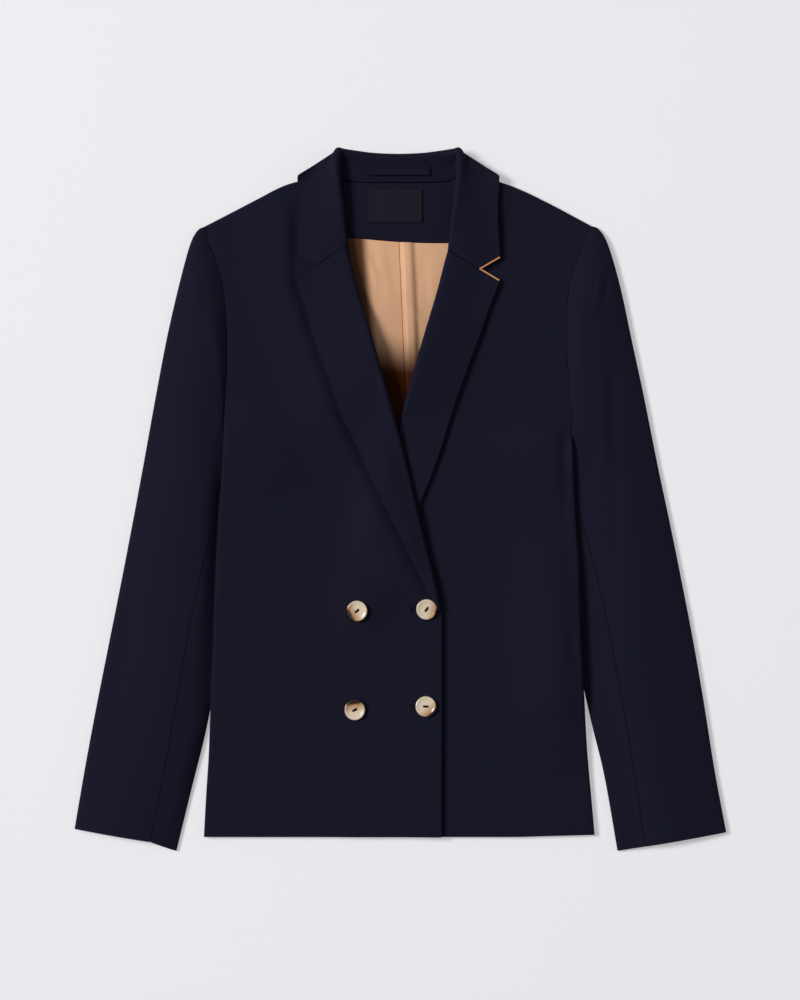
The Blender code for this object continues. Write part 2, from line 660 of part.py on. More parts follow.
def collar_section(side, key, ground, neck_z):
    """One cross section: the stand, the roll of the fall, and the fall."""
    keys = np.arange(len(COLLAR))
    table = np.array(COLLAR, float)
    nx, ny, fx, fy, fz, radius, tilt, ex, ey, ez = through(keys, table, [key])[0]
    ahead = through(keys, table, [key + 0.2])[0][2:4] - through(keys, table, [key - 0.2])[0][2:4]
    ahead = np.array((1.0, 0.0)) if key == 0 else ahead / np.linalg.norm(ahead)
    out = np.array((-side * ahead[1] * side, ahead[0], 0.0))
    rise = np.array((0.0, 0.0, 1.0))
    c, s = math.cos(math.radians(tilt)), math.sin(math.radians(tilt))
    up, over = c * out + s * rise, s * out - c * rise
    middle = np.array((fx, fy, fz)) - up * radius + rise * radius * s
    neck = np.array((nx, ny, neck_z(side, key, nx, ny)))
    mirrored = COLLAR_CENTRE_X + side * ex
    rests = float(ground(mirrored, ey)) if key > COLLAR_RIDGE_ROW else 0.0
    edge = np.array((ex, ey, rests + COLLAR_WALL / 2 + 0.1 + ez))
    start, end = middle - over * radius, middle + over * radius
    span = np.linalg.norm(start - neck)
    fine = np.linspace(0, 1, 17)
    guides = (neck, neck + (start - neck) * 0.4, start - up * 0.35 * span, start)
    turn = [middle + radius * (math.sin(a) * up - math.cos(a) * over) for a in math.pi * fine[1:]]
    inside = np.concatenate([bezier(guides, fine), np.array(turn)])
    level_end = (end - edge) * (1, 1, 0)
    guides = (end, end - up * 0.28 * np.linalg.norm(level_end), edge + 0.36 * level_end, edge)
    fall = bezier(guides, np.linspace(0, 1, FALL_COLUMNS + 1))
    for line in (inside, fall):
        line[:, 0] = COLLAR_CENTRE_X + side * line[:, 0]
    return inside, span, fall


def kept_clear(fall, key, ground):
    """The fall kept below the back behind the ridge, and above the front before it."""
    half = COLLAR_WALL / 2
    if key < COLLAR_RIDGE_ROW:
        beyond = np.maximum(fall[:, 1] - shoulder_y(fall[:, 0]) - 0.8, 0.0)
        fall[:, 2] = np.clip(fall[:, 2], half + 0.1, half + 0.1 + 0.9 * beyond)
    elif key > COLLAR_RIDGE_ROW:
        fall[:, 2] = np.maximum(fall[:, 2], ground(fall[:, 0], fall[:, 1]) + half + LAY)
    return fall


def bent_to_notch(fall, side, share):
    """Near the gorge the cross section follows the gorge seam and the collar's end."""
    seam = lapel_line(side, GORGE_Y)
    corner = seam[3] + (0.0, GORGE_GAP)
    tip = np.array((COLLAR_CENTRE_X + side * COLLAR_TIP[0], COLLAR_TIP[1]))
    near = np.linspace(fall[0, :2], corner, NOTCH_KNEE + 1)
    far = np.linspace(corner, tip, len(fall) - NOTCH_KNEE)[1:]
    fall[:, :2] += (np.concatenate([near, far]) - fall[:, :2]) * share
    return fall


def collar_grids(ground, neck_z):
    """Grids of the stand and of the fall, from the right gorge to the left gorge."""
    halves = {}
    for side in (-1, 1):
        stands, falls = [], []
        for key in COLLAR_KEYS:
            inside, span, fall = collar_section(side, key, ground, neck_z)
            bent = smooth((key - 8.5) / 3.5)
            fall = kept_clear(bent_to_notch(fall, side, bent), key, ground)
            whole = np.linalg.norm(np.diff(inside, axis=0), axis=1).sum()
            cut = STAND_SHARE * span / whole if key <= CUT_LAST_KEY else 0.0
            gap = SEAM / 2 / whole if key <= CUT_LAST_KEY else 0.0
            roll = spaced(inside, cut + gap, 1.0, ROLL_COLUMNS)
            falls.append(np.concatenate([roll, fall[1:]]))
            if key <= STAND_LAST_KEY:
                stands.append(spaced(inside, 0.0, cut - gap, STAND_COLUMNS))
        halves[side] = np.array(stands), np.array(falls)
    return [np.concatenate([halves[-1][k][::-1], halves[1][k][1:]]) for k in (0, 1)]


# ---- laying the pieces ------------------------------------------------------
def collar_bed(bed):
    """Mark in a height map the place of the fall under the back."""
    x, y = bed.cells()
    edge = np.array([row[7:9] for row in COLLAR[:COLLAR_RIDGE_ROW]], float)
    reach = abs(x - COLLAR_CENTRE_X)
    low = through(edge[:, 0], edge[:, 1], reach)
    under = (y > low - 12.0) & (reach < COLLAR_BED_HALF) & (y < shoulder_y(x) + 8.0)
    bed.z = np.maximum(bed.z, np.where(under, COLLAR_WALL + 0.4, 0.0))


def lay_sleeves():
    """The sleeves, and a height map of what the back lies on."""
    bed = HeightMap()
    for side, name in ((-1, "right"), (1, "left")):
        upper, under = sleeve_grids(side)
        cloth(f"sleeve_upper_{name}", [upper], SLEEVE_WALL, "navy_wool", flip=side > 0)
        cloth(f"sleeve_under_{name}", [under], SLEEVE_WALL, "navy_wool", flip=side < 0)
        for grid in (upper, under):
            bed.add(grid, SLEEVE_WALL / 2, lambda x, y: (y < 36) & (y > -300))
    collar_bed(bed)
    x, _ = bed.cells()
    bed.z *= smooth((215.0 - abs(x)) / 10.0)
    base = bed.draped(12.0)
    base.z += LAY * smooth(base.z / 2.0)
    return base


def lay_inside(back):
    """What shows inside the neck, laid on the back's grid."""
    below = HeightMap()
    below.add(back, BACK_WALL / 2)
    floor = below.draped(8.0)

    share = np.linspace(0, 1, 6)[:, None]
    reach = np.linspace(-64, 64, 13) * (1 - 0.14 * share)
    x = COLLAR_CENTRE_X + reach
    neck = np.array([row[:2] for row in COLLAR[:COLLAR_RIDGE_ROW]], float)
    low = through(column(NECK_FACING_HEM, 0), column(NECK_FACING_HEM, 1), x)
    high = through(neck[:, 0], neck[:, 1], abs(reach)) - 1.6
    y = low + (high - low) * share
    facing = grid_of(x, y, floor.at(x, y) + LAY + FACING_WALL / 2)
    cloth("back_neck_facing", [facing], FACING_WALL, "navy_wool")

    rows = []
    for y in np.linspace(GORGE_Y, LINING_BOTTOM_Y, 11):
        x = lining_columns(y)
        hem = through(column(NECK_FACING_HEM, 0), column(NECK_FACING_HEM, 1), x)
        ys = hem - EDGE_SEAM + (y - GORGE_Y)
        across = (x - LINING_PLEAT_X) / LINING_PLEAT_WIDTH
        pleat = LINING_PLEAT_HEIGHT * smooth(8 * across + 0.5) * (1 - smooth((across - 0.4) / 0.7))
        rows.append(grid_of(x, ys, floor.at(x, ys) + LAY + LINING_WALL / 2 + pleat))
    cloth("lining_back", [np.array(rows)], LINING_WALL, "satin_lining", flip=True)

    below.add(facing, FACING_WALL / 2)
    floor = below.draped(8.0)
    x0, x1, y0, y1 = LABEL_BOX
    x, y = np.meshgrid(np.linspace(x0, x1, 6), np.linspace(y0, y1, 5))
    label = grid_of(x, y, floor.at(x, y) + LAY + LABEL_WALL / 2)
    cloth("neck_label", [label], LABEL_WALL, "woven_label")


def lining_columns(y):
    """x of the lining's points at y: close together at the pleat."""
    right, left = float(x_at(ROLL, -1, y)) - 12.0, float(x_at(ROLL, 1, y)) + 12.0
    if y < LINING_NARROW_Y:
        right = -17.0 - 0.1 * (y - LINING_NARROW_Y)
        left = 22.0
    pleat = LINING_PLEAT_X + np.array([-1.0, 1.0, 0.45 * LINING_PLEAT_WIDTH, LINING_PLEAT_WIDTH])
    before = np.linspace(right, pleat[0], 4)[:-1]
    after = np.linspace(pleat[-1], max(left, 22.0), 4)[1:]
    return np.concatenate([before, pleat, after])


def lay_front(side, name, level):
    """A front with its lapel and facing; returns the grids that others lie on."""
    panel = front_panel(side, level)
    lapel = lapel_grid(side, level)
    facing = lapel_grid(side, level, out=FACING_OUT, past=0.3)
    cloth(f"front_{name}", [panel, lapel], FRONT_WALL, "navy_wool", flip=side > 0)
    cloth(f"lapel_facing_{name}", [facing], FACING_WALL, "navy_wool", flip=side > 0)
    return panel, facing


def lay_collar(base, levels):
    """Stand and fall, with the hanger loop on the stand; returns the fall's grid."""
    on_back = BACK_WALL + LAY + FACING_WALL / 2

    def ground(x, y):
        right, left = levels[-1](x, y), levels[1](x, y)
        return np.where(np.asarray(x) < COLLAR_CENTRE_X, right, left) + FRONT_WALL / 2

    def neck_z(side, key, nx, ny):
        x = COLLAR_CENTRE_X + side * nx
        back = float(base.at(x, ny)) + on_back
        front = float(levels[side](x + side * 2.0, min(ny, NECK_Y - 4.0)))
        return back + (front - back) * float(smooth((key - 4.6) / 2.2))

    stand, fall = collar_grids(ground, neck_z)
    cloth("collar_fall", [fall], COLLAR_WALL, "navy_wool", flip=True)
    cloth("collar_stand", [stand], STAND_WALL, "navy_wool", flip=True)
    x0, x1, y0, y1 = LOOP_BOX
    rows = []
    for x in np.linspace(x0, x1, 7):
        line = through(stand[:, 0, 0], stand.reshape(len(stand), -1), [x])[0].reshape(-1, 3)
        y = np.linspace(y0, y1, 3)
        z = np.interp(y, line[:, 1], line[:, 2]) + (STAND_WALL + LOOP_WALL) / 2 + LAY
        rows.append(grid_of(x, y, z))
    cloth("hanger_loop", [np.array(rows)], LOOP_WALL, "navy_wool", flip=True)
    return fall


def lay_piping(fall, facing):
    """Contrast strips in the left notch: on the collar's end and on the lapel's top."""
    collar_end = fall[-1, ROLL_COLUMNS - 1 + NOTCH_KNEE :]
    lapel_top = facing[-1, FOLD_STEPS + 3 :]
    for name, line, away in (("collar", collar_end, -1), ("lapel", lapel_top, 1)):
        line = spaced(line, 0.16, 0.96, 5)
        along = np.gradient(line, axis=0)
        normal = np.stack([-along[:, 1], along[:, 0], 0 * along[:, 0]], axis=1)
        normal *= away / np.linalg.norm(normal, axis=1, keepdims=True)
        inner = line + normal * SEAM
        outer = inner + normal * PIPING_WIDTH
        grid = np.array([inner, outer])
        cloth(f"notch_piping_{name}", [grid], PIPING_WALL, "copper_piping", flip=away < 0)


def lay_buttons(panel):
    """Four buttons with a raised rim and a dished face, each lying as the front lies."""
    top = HeightMap()
    top.add(panel, FRONT_WALL / 2)
    spread = np.linspace(-0.8, 0.8, 9) * BUTTON_RADIUS
    u, v = (side.ravel() for side in np.meshgrid(spread, spread))
    u, v = u[np.hypot(u, v) < 0.9 * BUTTON_RADIUS], v[np.hypot(u, v) < 0.9 * BUTTON_RADIUS]
    for name, x, y, turn in BUTTONS:
        mesh = bpy.data.meshes.new(name)
        work = bmesh.new()
        profile = [(r * BUTTON_RADIUS * MM, 0, h * BUTTON_HEIGHT * MM) for r, h in BUTTON_PROFILE]
        points = [work.verts.new(p) for p in profile]
        edges = [work.edges.new(pair) for pair in zip(points[:-1], points[1:])]
        bmesh.ops.spin(
            work,
            geom=points + edges,
            axis=(0, 0, 1),
            cent=(0, 0, 0),
            angle=2 * math.pi,
            steps=BUTTON_SIDES,
            use_merge=True,
        )
        bmesh.ops.remove_doubles(work, verts=work.verts, dist=0.01 * MM)
        bmesh.ops.recalc_face_normals(work, faces=work.faces)
        work.to_mesh(mesh)
        work.free()
        mesh.materials.append(finish("horn_button"))
        mesh.shade_smooth()
        button = bpy.data.objects.new(name, mesh)
        bpy.context.scene.collection.objects.link(button)
        under = top.at(x + u, y + v)
        plane = np.linalg.lstsq(np.stack([u, v, np.ones(len(u))], axis=1), under, rcond=None)[0]
        lift = np.max(under - (plane[0] * u + plane[1] * v)) + LAY / 2
        button.location = (x * MM, y * MM, lift * MM)
        lean = Vector((0, 0, 1)).rotation_difference(Vector((-plane[0], -plane[1], 1)))
        button.rotation_mode = "QUATERNION"
        button.rotation_quaternion = lean @ Quaternion((0, 0, 1), math.radians(turn))


def build():
    """Lay the pieces one on another."""
    base = lay_sleeves()
    back = back_panel(lambda x, y: base.at(x, y) + BACK_WALL / 2)
    cloth("back", [back], BACK_WALL, "navy_wool")
    lay_inside(back)

    def left_level(x, y):
        roll = x_at(ROLL, 1, np.clip(y, BREAK_Y, GORGE_Y))
        spring = ROLL_SPRING * smooth((np.asarray(y) - 10) / 50.0)
        return base.at(x, y) + FRONT_RISE + spring * (1 - smooth((x - roll) / 45.0))

    left_panel, left_facing = lay_front(1, "left", left_level)
    stack = HeightMap(base.z + FRONT_RISE - FRONT_WALL / 2 - LAY)
    stack.add(left_panel[:, 3:], FRONT_WALL / 2, lambda x, y: y < GORGE_Y)
    stack.add(left_facing, FACING_WALL / 2, lambda x, y: y < GORGE_Y)
    lain = stack.draped(14.0)

    def right_level(x, y):
        roll = x_at(ROLL, -1, np.clip(y, BREAK_Y, GORGE_Y))
        spring = ROLL_SPRING * smooth((np.asarray(y) - BREAK_Y + 10) / 60.0)
        return lain.at(x, y) + LAY + FRONT_WALL / 2 + spring * (1 - smooth((roll - x) / 40.0))

    right_panel, _ = lay_front(-1, "right", right_level)
    fall = lay_collar(base, {-1: right_level, 1: left_level})
    lay_piping(fall, left_facing)
    lay_buttons(right_panel)


def main():
    """Clear the scene and build the blazer."""
    for old in list(bpy.data.objects):
        bpy.data.objects.remove(old, do_unlink=True)
    build()


main()
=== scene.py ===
"""A double breasted blazer with notch lapels, laid flat on its back: the pieces that show.

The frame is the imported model's: metres, +X to the wearer's left, +Y up the garment
to its collar, +Z off the surface it lies on. Every size and table below is in
millimetres, and turns to metres where a mesh is made. The wearer's right is on -X.

Each piece of cloth is made from a grid of points through the middle of its wall.
The pieces are laid one on another: sleeves, back, neck facing and lining, left
front, right front, collar, loop, piping, buttons. What lies on others takes its
height from a map of what is below it.
"""

import logging
import math
from dataclasses import dataclass, field
from enum import Enum, IntEnum
from typing import Any, Callable, NamedTuple, Optional, Sequence, Union

import bmesh
import bpy
import numpy as np
from mathutils import Matrix, Quaternion, Vector


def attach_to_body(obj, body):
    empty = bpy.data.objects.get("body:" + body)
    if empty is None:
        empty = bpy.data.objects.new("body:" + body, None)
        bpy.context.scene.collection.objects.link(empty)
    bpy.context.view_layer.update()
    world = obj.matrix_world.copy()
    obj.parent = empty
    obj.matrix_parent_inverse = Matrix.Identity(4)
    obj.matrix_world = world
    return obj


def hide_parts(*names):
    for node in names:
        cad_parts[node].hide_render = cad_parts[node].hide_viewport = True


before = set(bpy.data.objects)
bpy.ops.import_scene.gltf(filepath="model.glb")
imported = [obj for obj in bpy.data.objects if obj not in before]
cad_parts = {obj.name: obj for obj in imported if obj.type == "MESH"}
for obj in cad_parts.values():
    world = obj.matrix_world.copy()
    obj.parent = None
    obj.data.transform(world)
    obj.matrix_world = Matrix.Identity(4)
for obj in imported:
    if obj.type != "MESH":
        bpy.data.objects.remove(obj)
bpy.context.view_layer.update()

log = logging.getLogger("blazer")

MM = 0.001
TURN = 2 * math.pi
Array = np.ndarray
Level = Callable[[Array, Array], Array]
Point = tuple[float, float]
Place = tuple[float, float, float]
Socket = bpy.types.NodeSocket


class Side(IntEnum):
    """The wearer's right, on -X, or left, on +X."""

    RIGHT = -1
    LEFT = 1


class Slot(Enum):
    """The record's material slots."""

    WOOL = "navy_wool"
    SATIN = "satin_lining"
    LABEL = "woven_label"
    HORN = "horn_button"
    PIPING = "copper_piping"


class Held(Enum):
    """How a sheet of cloth is kept in its shape."""

    LAID = "laid"
    FOLDED = "folded"


# ---- shared sizes -----------------------------------------------------------
BACK_WALL = 1.6
FRONT_WALL = 1.6
FACING_WALL = 1.1
SEAM = 0.45  # gap between two pieces that are sewn edge to edge
EDGE_SEAM = 0.8  # the same where both edges turn into the side or shoulder seam
LAY = 0.45  # gap between two pieces that lie on each other
BODY_GAP = 2.6  # air between the back and a front
FRONT_RISE = BACK_WALL + BODY_GAP + FRONT_WALL / 2  # middle of a front over the floor
HEM_Y = -344.0
UNDERARM_Y = 84.0
BREAK_Y = -112.0  # where the lapel leaves the front edge
GORGE_Y = 262.0  # where the roll line meets the collar
NECK_Y = 342.5  # neck point of the shoulder seam
BEND_Y = 68.0  # from here up the panels' rows bend to the shoulder's slope
COLLAR_CENTRE_X = -2.0


# ---- curves -----------------------------------------------------------------
def smooth(t: Array) -> Array:
    """0 below t = 0, 1 above t = 1, and an even S between them."""
    t = np.clip(t, 0.0, 1.0)
    return t * t * (3.0 - 2.0 * t)


def ramp(at: Array, start: float, end: float) -> Array:
    """0 before start, 1 past end, which may be lower, and an even S between them."""
    return smooth((at - start) / (end - start))


def both(at: Array, ramps: Sequence[Point]) -> Array:
    """Two ramps, given as start and end, of which one takes back what the other does."""
    return ramp(at, *ramps[0]) * ramp(at, *ramps[1])


def through(keys: Array, values: Array, at: Array) -> Array:
    """A smooth curve through values at keys.

    Args:
        keys: Where the values are, rising or falling.
        values: A number or a row of numbers for each key.
        at: Where the curve is read.

    Returns:
        The curve's value, or row of values, for each place in at.
    """
    keys, values = np.asarray(keys, float), np.asarray(values, float)
    if keys[0] > keys[-1]:
        keys, values = keys[::-1], values[::-1]
    slopes = np.gradient(values, keys, axis=0)
    at = np.clip(np.asarray(at, float), keys[0], keys[-1])
    i = np.clip(np.searchsorted(keys, at) - 1, 0, len(keys) - 2)
    step = keys[i + 1] - keys[i]
    t = (at - keys[i]) / step
    if values.ndim > 1:
        t, step = t[..., None], step[..., None]
    before, after = (1 + 2 * t) * (1 - t) ** 2, t * t * (3 - 2 * t)
    lean = t * (1 - t) ** 2 * step * slopes[i] - t * t * (1 - t) * step * slopes[i + 1]
    return before * values[i] + after * values[i + 1] + lean


def bezier(points: Sequence[Array], t: Array) -> Array:
    """A cubic curve with four guide points, read at the shares t."""
    t = np.asarray(t, float)[:, None]
    a, b, c, d = (np.asarray(p, float) for p in points)
    return (1 - t) ** 3 * a + 3 * t * (1 - t) ** 2 * b + 3 * t * t * (1 - t) * c + t**3 * d


def spaced(line: Array, start: float, end: float, count: int) -> Array:
    """Points at even steps along a dense line, between two shares of its length."""
    steps = np.linalg.norm(np.diff(line, axis=0), axis=1)
    length = np.concatenate([[0.0], np.cumsum(steps)])
    at = np.linspace(start, end, count) * length[-1]
    return np.stack([np.interp(at, length, line[:, k]) for k in range(line.shape[1])], axis=1)


def grid_of(*xyz: Array) -> Array:
    """One grid of points from grids of x, y and z."""
    return np.stack(np.broadcast_arrays(*xyz), axis=-1).astype(float)


def finer(grid: Array, rows: Array, cols: Array) -> Array:
    """A grid of values read at places between its rows and columns, where both meet."""
    i = np.minimum(rows.astype(int), grid.shape[0] - 2)
    j = np.minimum(cols.astype(int), grid.shape[1] - 2)
    s, t = rows - i, cols - j
    if grid.ndim > 2:
        s, t = s[..., None], t[..., None]
    low = grid[i, j] * (1 - t) + grid[i, j + 1] * t
    high = grid[i + 1, j] * (1 - t) + grid[i + 1, j + 1] * t
    return low * (1 - s) + high * s


@dataclass(frozen=True)
class EdgeLine:
    """A line down the garment, as rows of y, right x, left x."""

    rows: tuple[Place, ...]

    def x(self, side: Side, y: Array) -> Array:
        """x of the line on one side, at y."""
        table = np.array(self.rows, float)
        return through(table[:, 0], table[:, 1 if side < 0 else 2], y)


@dataclass(frozen=True)
class Fold:
    """A soft ridge, or a trough where the height is below 0, along a line."""

    start: Point
    end: Point
    width: float
    height: float
    fade: float = 0.4  # share of the length over which each end dies away

    def lift(self, x: Array, y: Array) -> Array:
        """How far the fold raises the cloth at x, y."""
        ax, ay = self.start
        dx, dy = self.end[0] - ax, self.end[1] - ay
        length = math.hypot(dx, dy)
        along = ((x - ax) * dx + (y - ay) * dy) / length**2
        away = ((x - ax) * dy - (y - ay) * dx) / length
        ends = smooth(along / self.fade) * smooth((1 - along) / self.fade)
        return self.height * np.exp(-((away / self.width) ** 2)) * ends


@dataclass(frozen=True)
class Drape:
    """The hand of a cloth: its named folds, and slow waves with a fixed seed."""

    folds: tuple[Fold, ...] = ()
    wave: float = 0.0  # height of the waves
    length: float = 120.0  # of the shortest wave
    seed: int = 1
    waves: int = 6
    longer: float = 0.45  # how much longer each wave is than the one before
    along: float = 0.6  # how tightly the waves follow each other up the garment

    def lift(self, x: Array, y: Array) -> Array:
        """How far the cloth stands over its even shape at x, y."""
        x, y = np.asarray(x, float), np.asarray(y, float)
        total = np.zeros(np.broadcast(x, y).shape)
        for fold in self.folds:
            total = total + fold.lift(x, y)
        draw = np.random.default_rng(self.seed)
        for k in range(self.waves):
            turn, phase = draw.uniform(0, math.pi), draw.uniform(0, TURN)
            pitch = TURN / (self.length * (1 + self.longer * k))
            run = x * math.cos(turn) + self.along * y * math.sin(turn)
            total = total + self.wave / 3 * np.sin(run * pitch + phase)
        return total


DRAPES = {
    "sleeve_right": Drape(
        (
            Fold((-212, 236), (-205, 190), 7, 0.9),
            Fold((-232, 118), (-206, 84), 5, -0.5),
            Fold((-226, 60), (-262, -120), 16, 0.7),
            Fold((-268, -60), (-300, -300), 20, -0.6),
        ),
        wave=0.5,
        length=110.0,
        seed=11,
    ),
    "sleeve_left": Drape(
        (
            Fold((206, 240), (198, 192), 4, 1.3),
            Fold((213, 234), (206, 196), 3, -0.8),
            Fold((216, 176), (220, -104), 7, -2.0, 0.3),
            Fold((240, 60), (270, -140), 14, 0.8),
            Fold((268, -60), (300, -300), 18, -0.5),
        ),
        wave=0.5,
        length=110.0,
        seed=12,
    ),
    "front_left": Drape(wave=0.45, length=130.0, seed=22),
    "front_right": Drape(wave=0.45, length=130.0, seed=23),
    "lining": Drape(
        (
            Fold((-40, 264), (-20, 214), 3.4, 1.4),
            Fold((-31, 264), (-24, 236), 2.6, -1.0),
            Fold((-22, 262), (-8, 190), 6.0, 1.0),
            Fold((22, 262), (26, 150), 6.0, -0.9),
            Fold((4, 200), (34, 176), 4.0, 0.9),
        ),
        wave=0.5,
        length=30.0,
        seed=5,
    ),
    "label": Drape(wave=0.25, length=30.0, seed=3),
}


# ---- height maps ------------------------------------------------------------
class HeightMap:
    """How high the pieces laid so far reach, over a square raster."""

    CELL = 4.0
    HALF_X = 360.0
    HALF_Y = 380.0
    FINE = 4  # steps from one point of an added grid to the next

    def __init__(self, z: Optional[Array] = None) -> None:
        """Start flat on the floor, or from the heights z."""
        self.columns = int(2 * self.HALF_X / self.CELL) + 1
        self.rows = int(2 * self.HALF_Y / self.CELL) + 1
        self.z = np.zeros((self.rows, self.columns)) if z is None else z

    def cells(self) -> list[Array]:
        """x and y of every cell."""
        x = -self.HALF_X + self.CELL * np.arange(self.columns)
        y = -self.HALF_Y + self.CELL * np.arange(self.rows)
        return np.meshgrid(x, y)

    def add(self, grid: Array, half_wall: float, keep: Optional[Level] = None) -> None:
        """Raise the map to the top of a grid of points.

        Args:
            grid: Points through the middle of a cloth.
            half_wall: Half of the cloth's wall.
            keep: Says of x, y which points count.
        """
        ends = [size - 1 for size in grid.shape[:2]]
        rows, cols = (np.linspace(0, end, self.FINE * end + 1) for end in ends)
        dense = finer(grid, *np.meshgrid(rows, cols, indexing="ij")).reshape(-1, 3)
        if keep is not None:
            dense = dense[keep(dense[:, 0], dense[:, 1])]
        col = np.rint((dense[:, 0] + self.HALF_X) / self.CELL).astype(int)
        row = np.rint((dense[:, 1] + self.HALF_Y) / self.CELL).astype(int)
        np.maximum.at(self.z, (row, col), dense[:, 2] + half_wall)

    def draped(self, reach: float) -> "HeightMap":
        """The map as cloth spans it: never lower, with no step steeper than the reach."""
        n = int(round(reach / self.CELL))
        steps = range(-n, n + 1)
        disc = [(a, b) for a in steps for b in steps if a * a + b * b <= n * n + 1]
        high = np.max([np.roll(self.z, shift, (0, 1)) for shift in disc], axis=0)
        return HeightMap(np.mean([np.roll(high, shift, (0, 1)) for shift in disc], axis=0))

    def bridged(self, reach: float) -> "HeightMap":
        """The map as stiff cloth bridges it: every height sinks slowly, sideways."""
        high = self.z
        for n in range(1, int(reach / self.CELL)):
            sink = float(smooth(n * self.CELL / reach))
            for way in (-n, n):
                high = np.maximum(high, np.roll(self.z, way, 1) * (1 - sink))
        return HeightMap(high)

    def at(self, x: Array, y: Array) -> Array:
        """The height at points x, y."""
        col = np.clip((np.asarray(x) + self.HALF_X) / self.CELL, 0, self.columns - 1.001)
        row = np.clip((np.asarray(y) + self.HALF_Y) / self.CELL, 0, self.rows - 1.001)
        return finer(self.z, row, col)


# ---- finishes ---------------------------------------------------------------
def linear(colour: str) -> tuple[float, float, float, float]:
    """An sRGB hex value such as "1b1a29" as linear red, green, blue and alpha."""
    channels = [int(colour[k : k + 2], 16) / 255 for k in (0, 2, 4)]
    red, green, blue = (
        c / 12.92 if c <= 0.04045 else ((c + 0.055) / 1.055) ** 2.4 for c in channels
    )
    return red, green, blue, 1.0


def add_node(
    tree: bpy.types.NodeTree, kind: str, given: Optional[dict] = None, out: Union[int, str] = 0
) -> Socket:
    """Add a node to a tree.

    Args:
        tree: A material's or a Geometry Nodes tree.
        kind: The node's type name.
        given: By the name of an attribute, or the name or number of an input: the
            value that it gets, or the output socket that feeds it.
        out: Name or number of the output that is returned.

    Returns:
        The node's output socket, if it has any.
    """
    made = tree.nodes.new(kind)
    for name, value in (given or {}).items():
        if isinstance(value, Socket):
            tree.links.new(value, made.inputs[name])
        elif isinstance(name, str) and hasattr(made, name):
            setattr(made, name, value)
        else:
            made.inputs[name].default_value = value
    return made.outputs[out] if made.outputs else None


@dataclass(frozen=True)
class Finish:
    """What every finish has: a name, a roughness, and the record's slot."""

    name: str = "finish"
    roughness: float = 0.8
    slot: Slot = Slot.WOOL

    # stretch of a wave texture: radians to a unit, by the direction of its bands
    STRAIGHT = 20.0
    SLANTED = 10.0 * math.sqrt(2)
    SLANTED_3D = 10.0 * math.sqrt(3)

    def material(self) -> bpy.types.Material:
        """The Blender material, made once."""
        made = bpy.data.materials.get(self.name)
        if made is None:
            made = bpy.data.materials.new(self.name)
            made.use_nodes = True
            tree = made.node_tree
            tree.nodes.clear()
            given = {"Roughness": self.roughness, **self.dress(tree)}
            shader = add_node(tree, "ShaderNodeBsdfPrincipled", given)
            add_node(tree, "ShaderNodeOutputMaterial", {"Surface": shader})
        return made

    def dress(self, tree: bpy.types.NodeTree) -> dict[str, Any]:
        """Add the finish's own nodes; returns what the shader is given."""
        return {}


@dataclass(frozen=True)
class WoolTwill(Finish):
    """Navy worsted wool, woven as a fine twill and pressed.

    The eye sees a smooth, dull, nearly even navy, with a slight haze of light on
    the curves that turn away.
    """

    name: str = "navy_worsted_wool"
    roughness: float = 0.84
    base: str = "151525"
    warp: str = "1c1c2e"
    cloud: str = "141427"
    haze: str = "8d8cb4"
    rib: float = 1.5  # the real ribs are 0.5 mm apart; drawn coarser so that they show
    fibre: float = 0.7
    cloud_size: float = 55.0
    rib_share: float = 0.3
    fibre_share: float = 0.35
    cloud_share: float = 0.6

    def dress(self, tree: bpy.types.NodeTree) -> dict[str, Any]:
        """Twill ribs, loose fibres and slow clouds of shade over the cloth's own grain."""
        grain = add_node(tree, "ShaderNodeUVMap", {"uv_map": "grain"})
        given = {"bands_direction": "DIAGONAL", "Scale": TURN / (self.rib * self.SLANTED)}
        given |= {"Distortion": 1.2, "Detail": 2.0, "Detail Scale": 1.4, "Vector": grain}
        ribs = add_node(tree, "ShaderNodeTexWave", given, "Fac")
        given = {"Scale": 1 / self.fibre, "Detail": 3.0, "Roughness": 0.6, "Vector": grain}
        fuzz = add_node(tree, "ShaderNodeTexNoise", given)
        given = {"Scale": 1 / self.cloud_size, "Detail": 2.0, "Vector": grain}
        clouds = add_node(tree, "ShaderNodeTexNoise", given)
        given = {"operation": "MULTIPLY", 1: self.rib_share, 0: ribs}
        faint = add_node(tree, "ShaderNodeMath", given)
        given = {"operation": "MULTIPLY_ADD", 1: self.fibre_share, 0: fuzz, 2: faint}
        threads = add_node(tree, "ShaderNodeMath", given)
        given = {"data_type": "RGBA", 6: linear(self.base), 7: linear(self.warp), 0: threads}
        woven = add_node(tree, "ShaderNodeMix", given, 2)
        given = {"operation": "MULTIPLY", 1: self.cloud_share, 0: clouds}
        soft = add_node(tree, "ShaderNodeMath", given)
        given = {"data_type": "RGBA", 6: woven, 7: linear(self.cloud), 0: soft}
        colour = add_node(tree, "ShaderNodeMix", given, 2)
        given = {"Strength": 0.12, "Distance": 0.00025, "Height": threads}
        return {
            "Base Color": colour,
            "Normal": add_node(tree, "ShaderNodeBump", given),
            "Specular IOR Level": 0.10,
            "Sheen Weight": 0.07,
            "Sheen Roughness": 0.42,
            "Sheen Tint": linear(self.haze),
        }


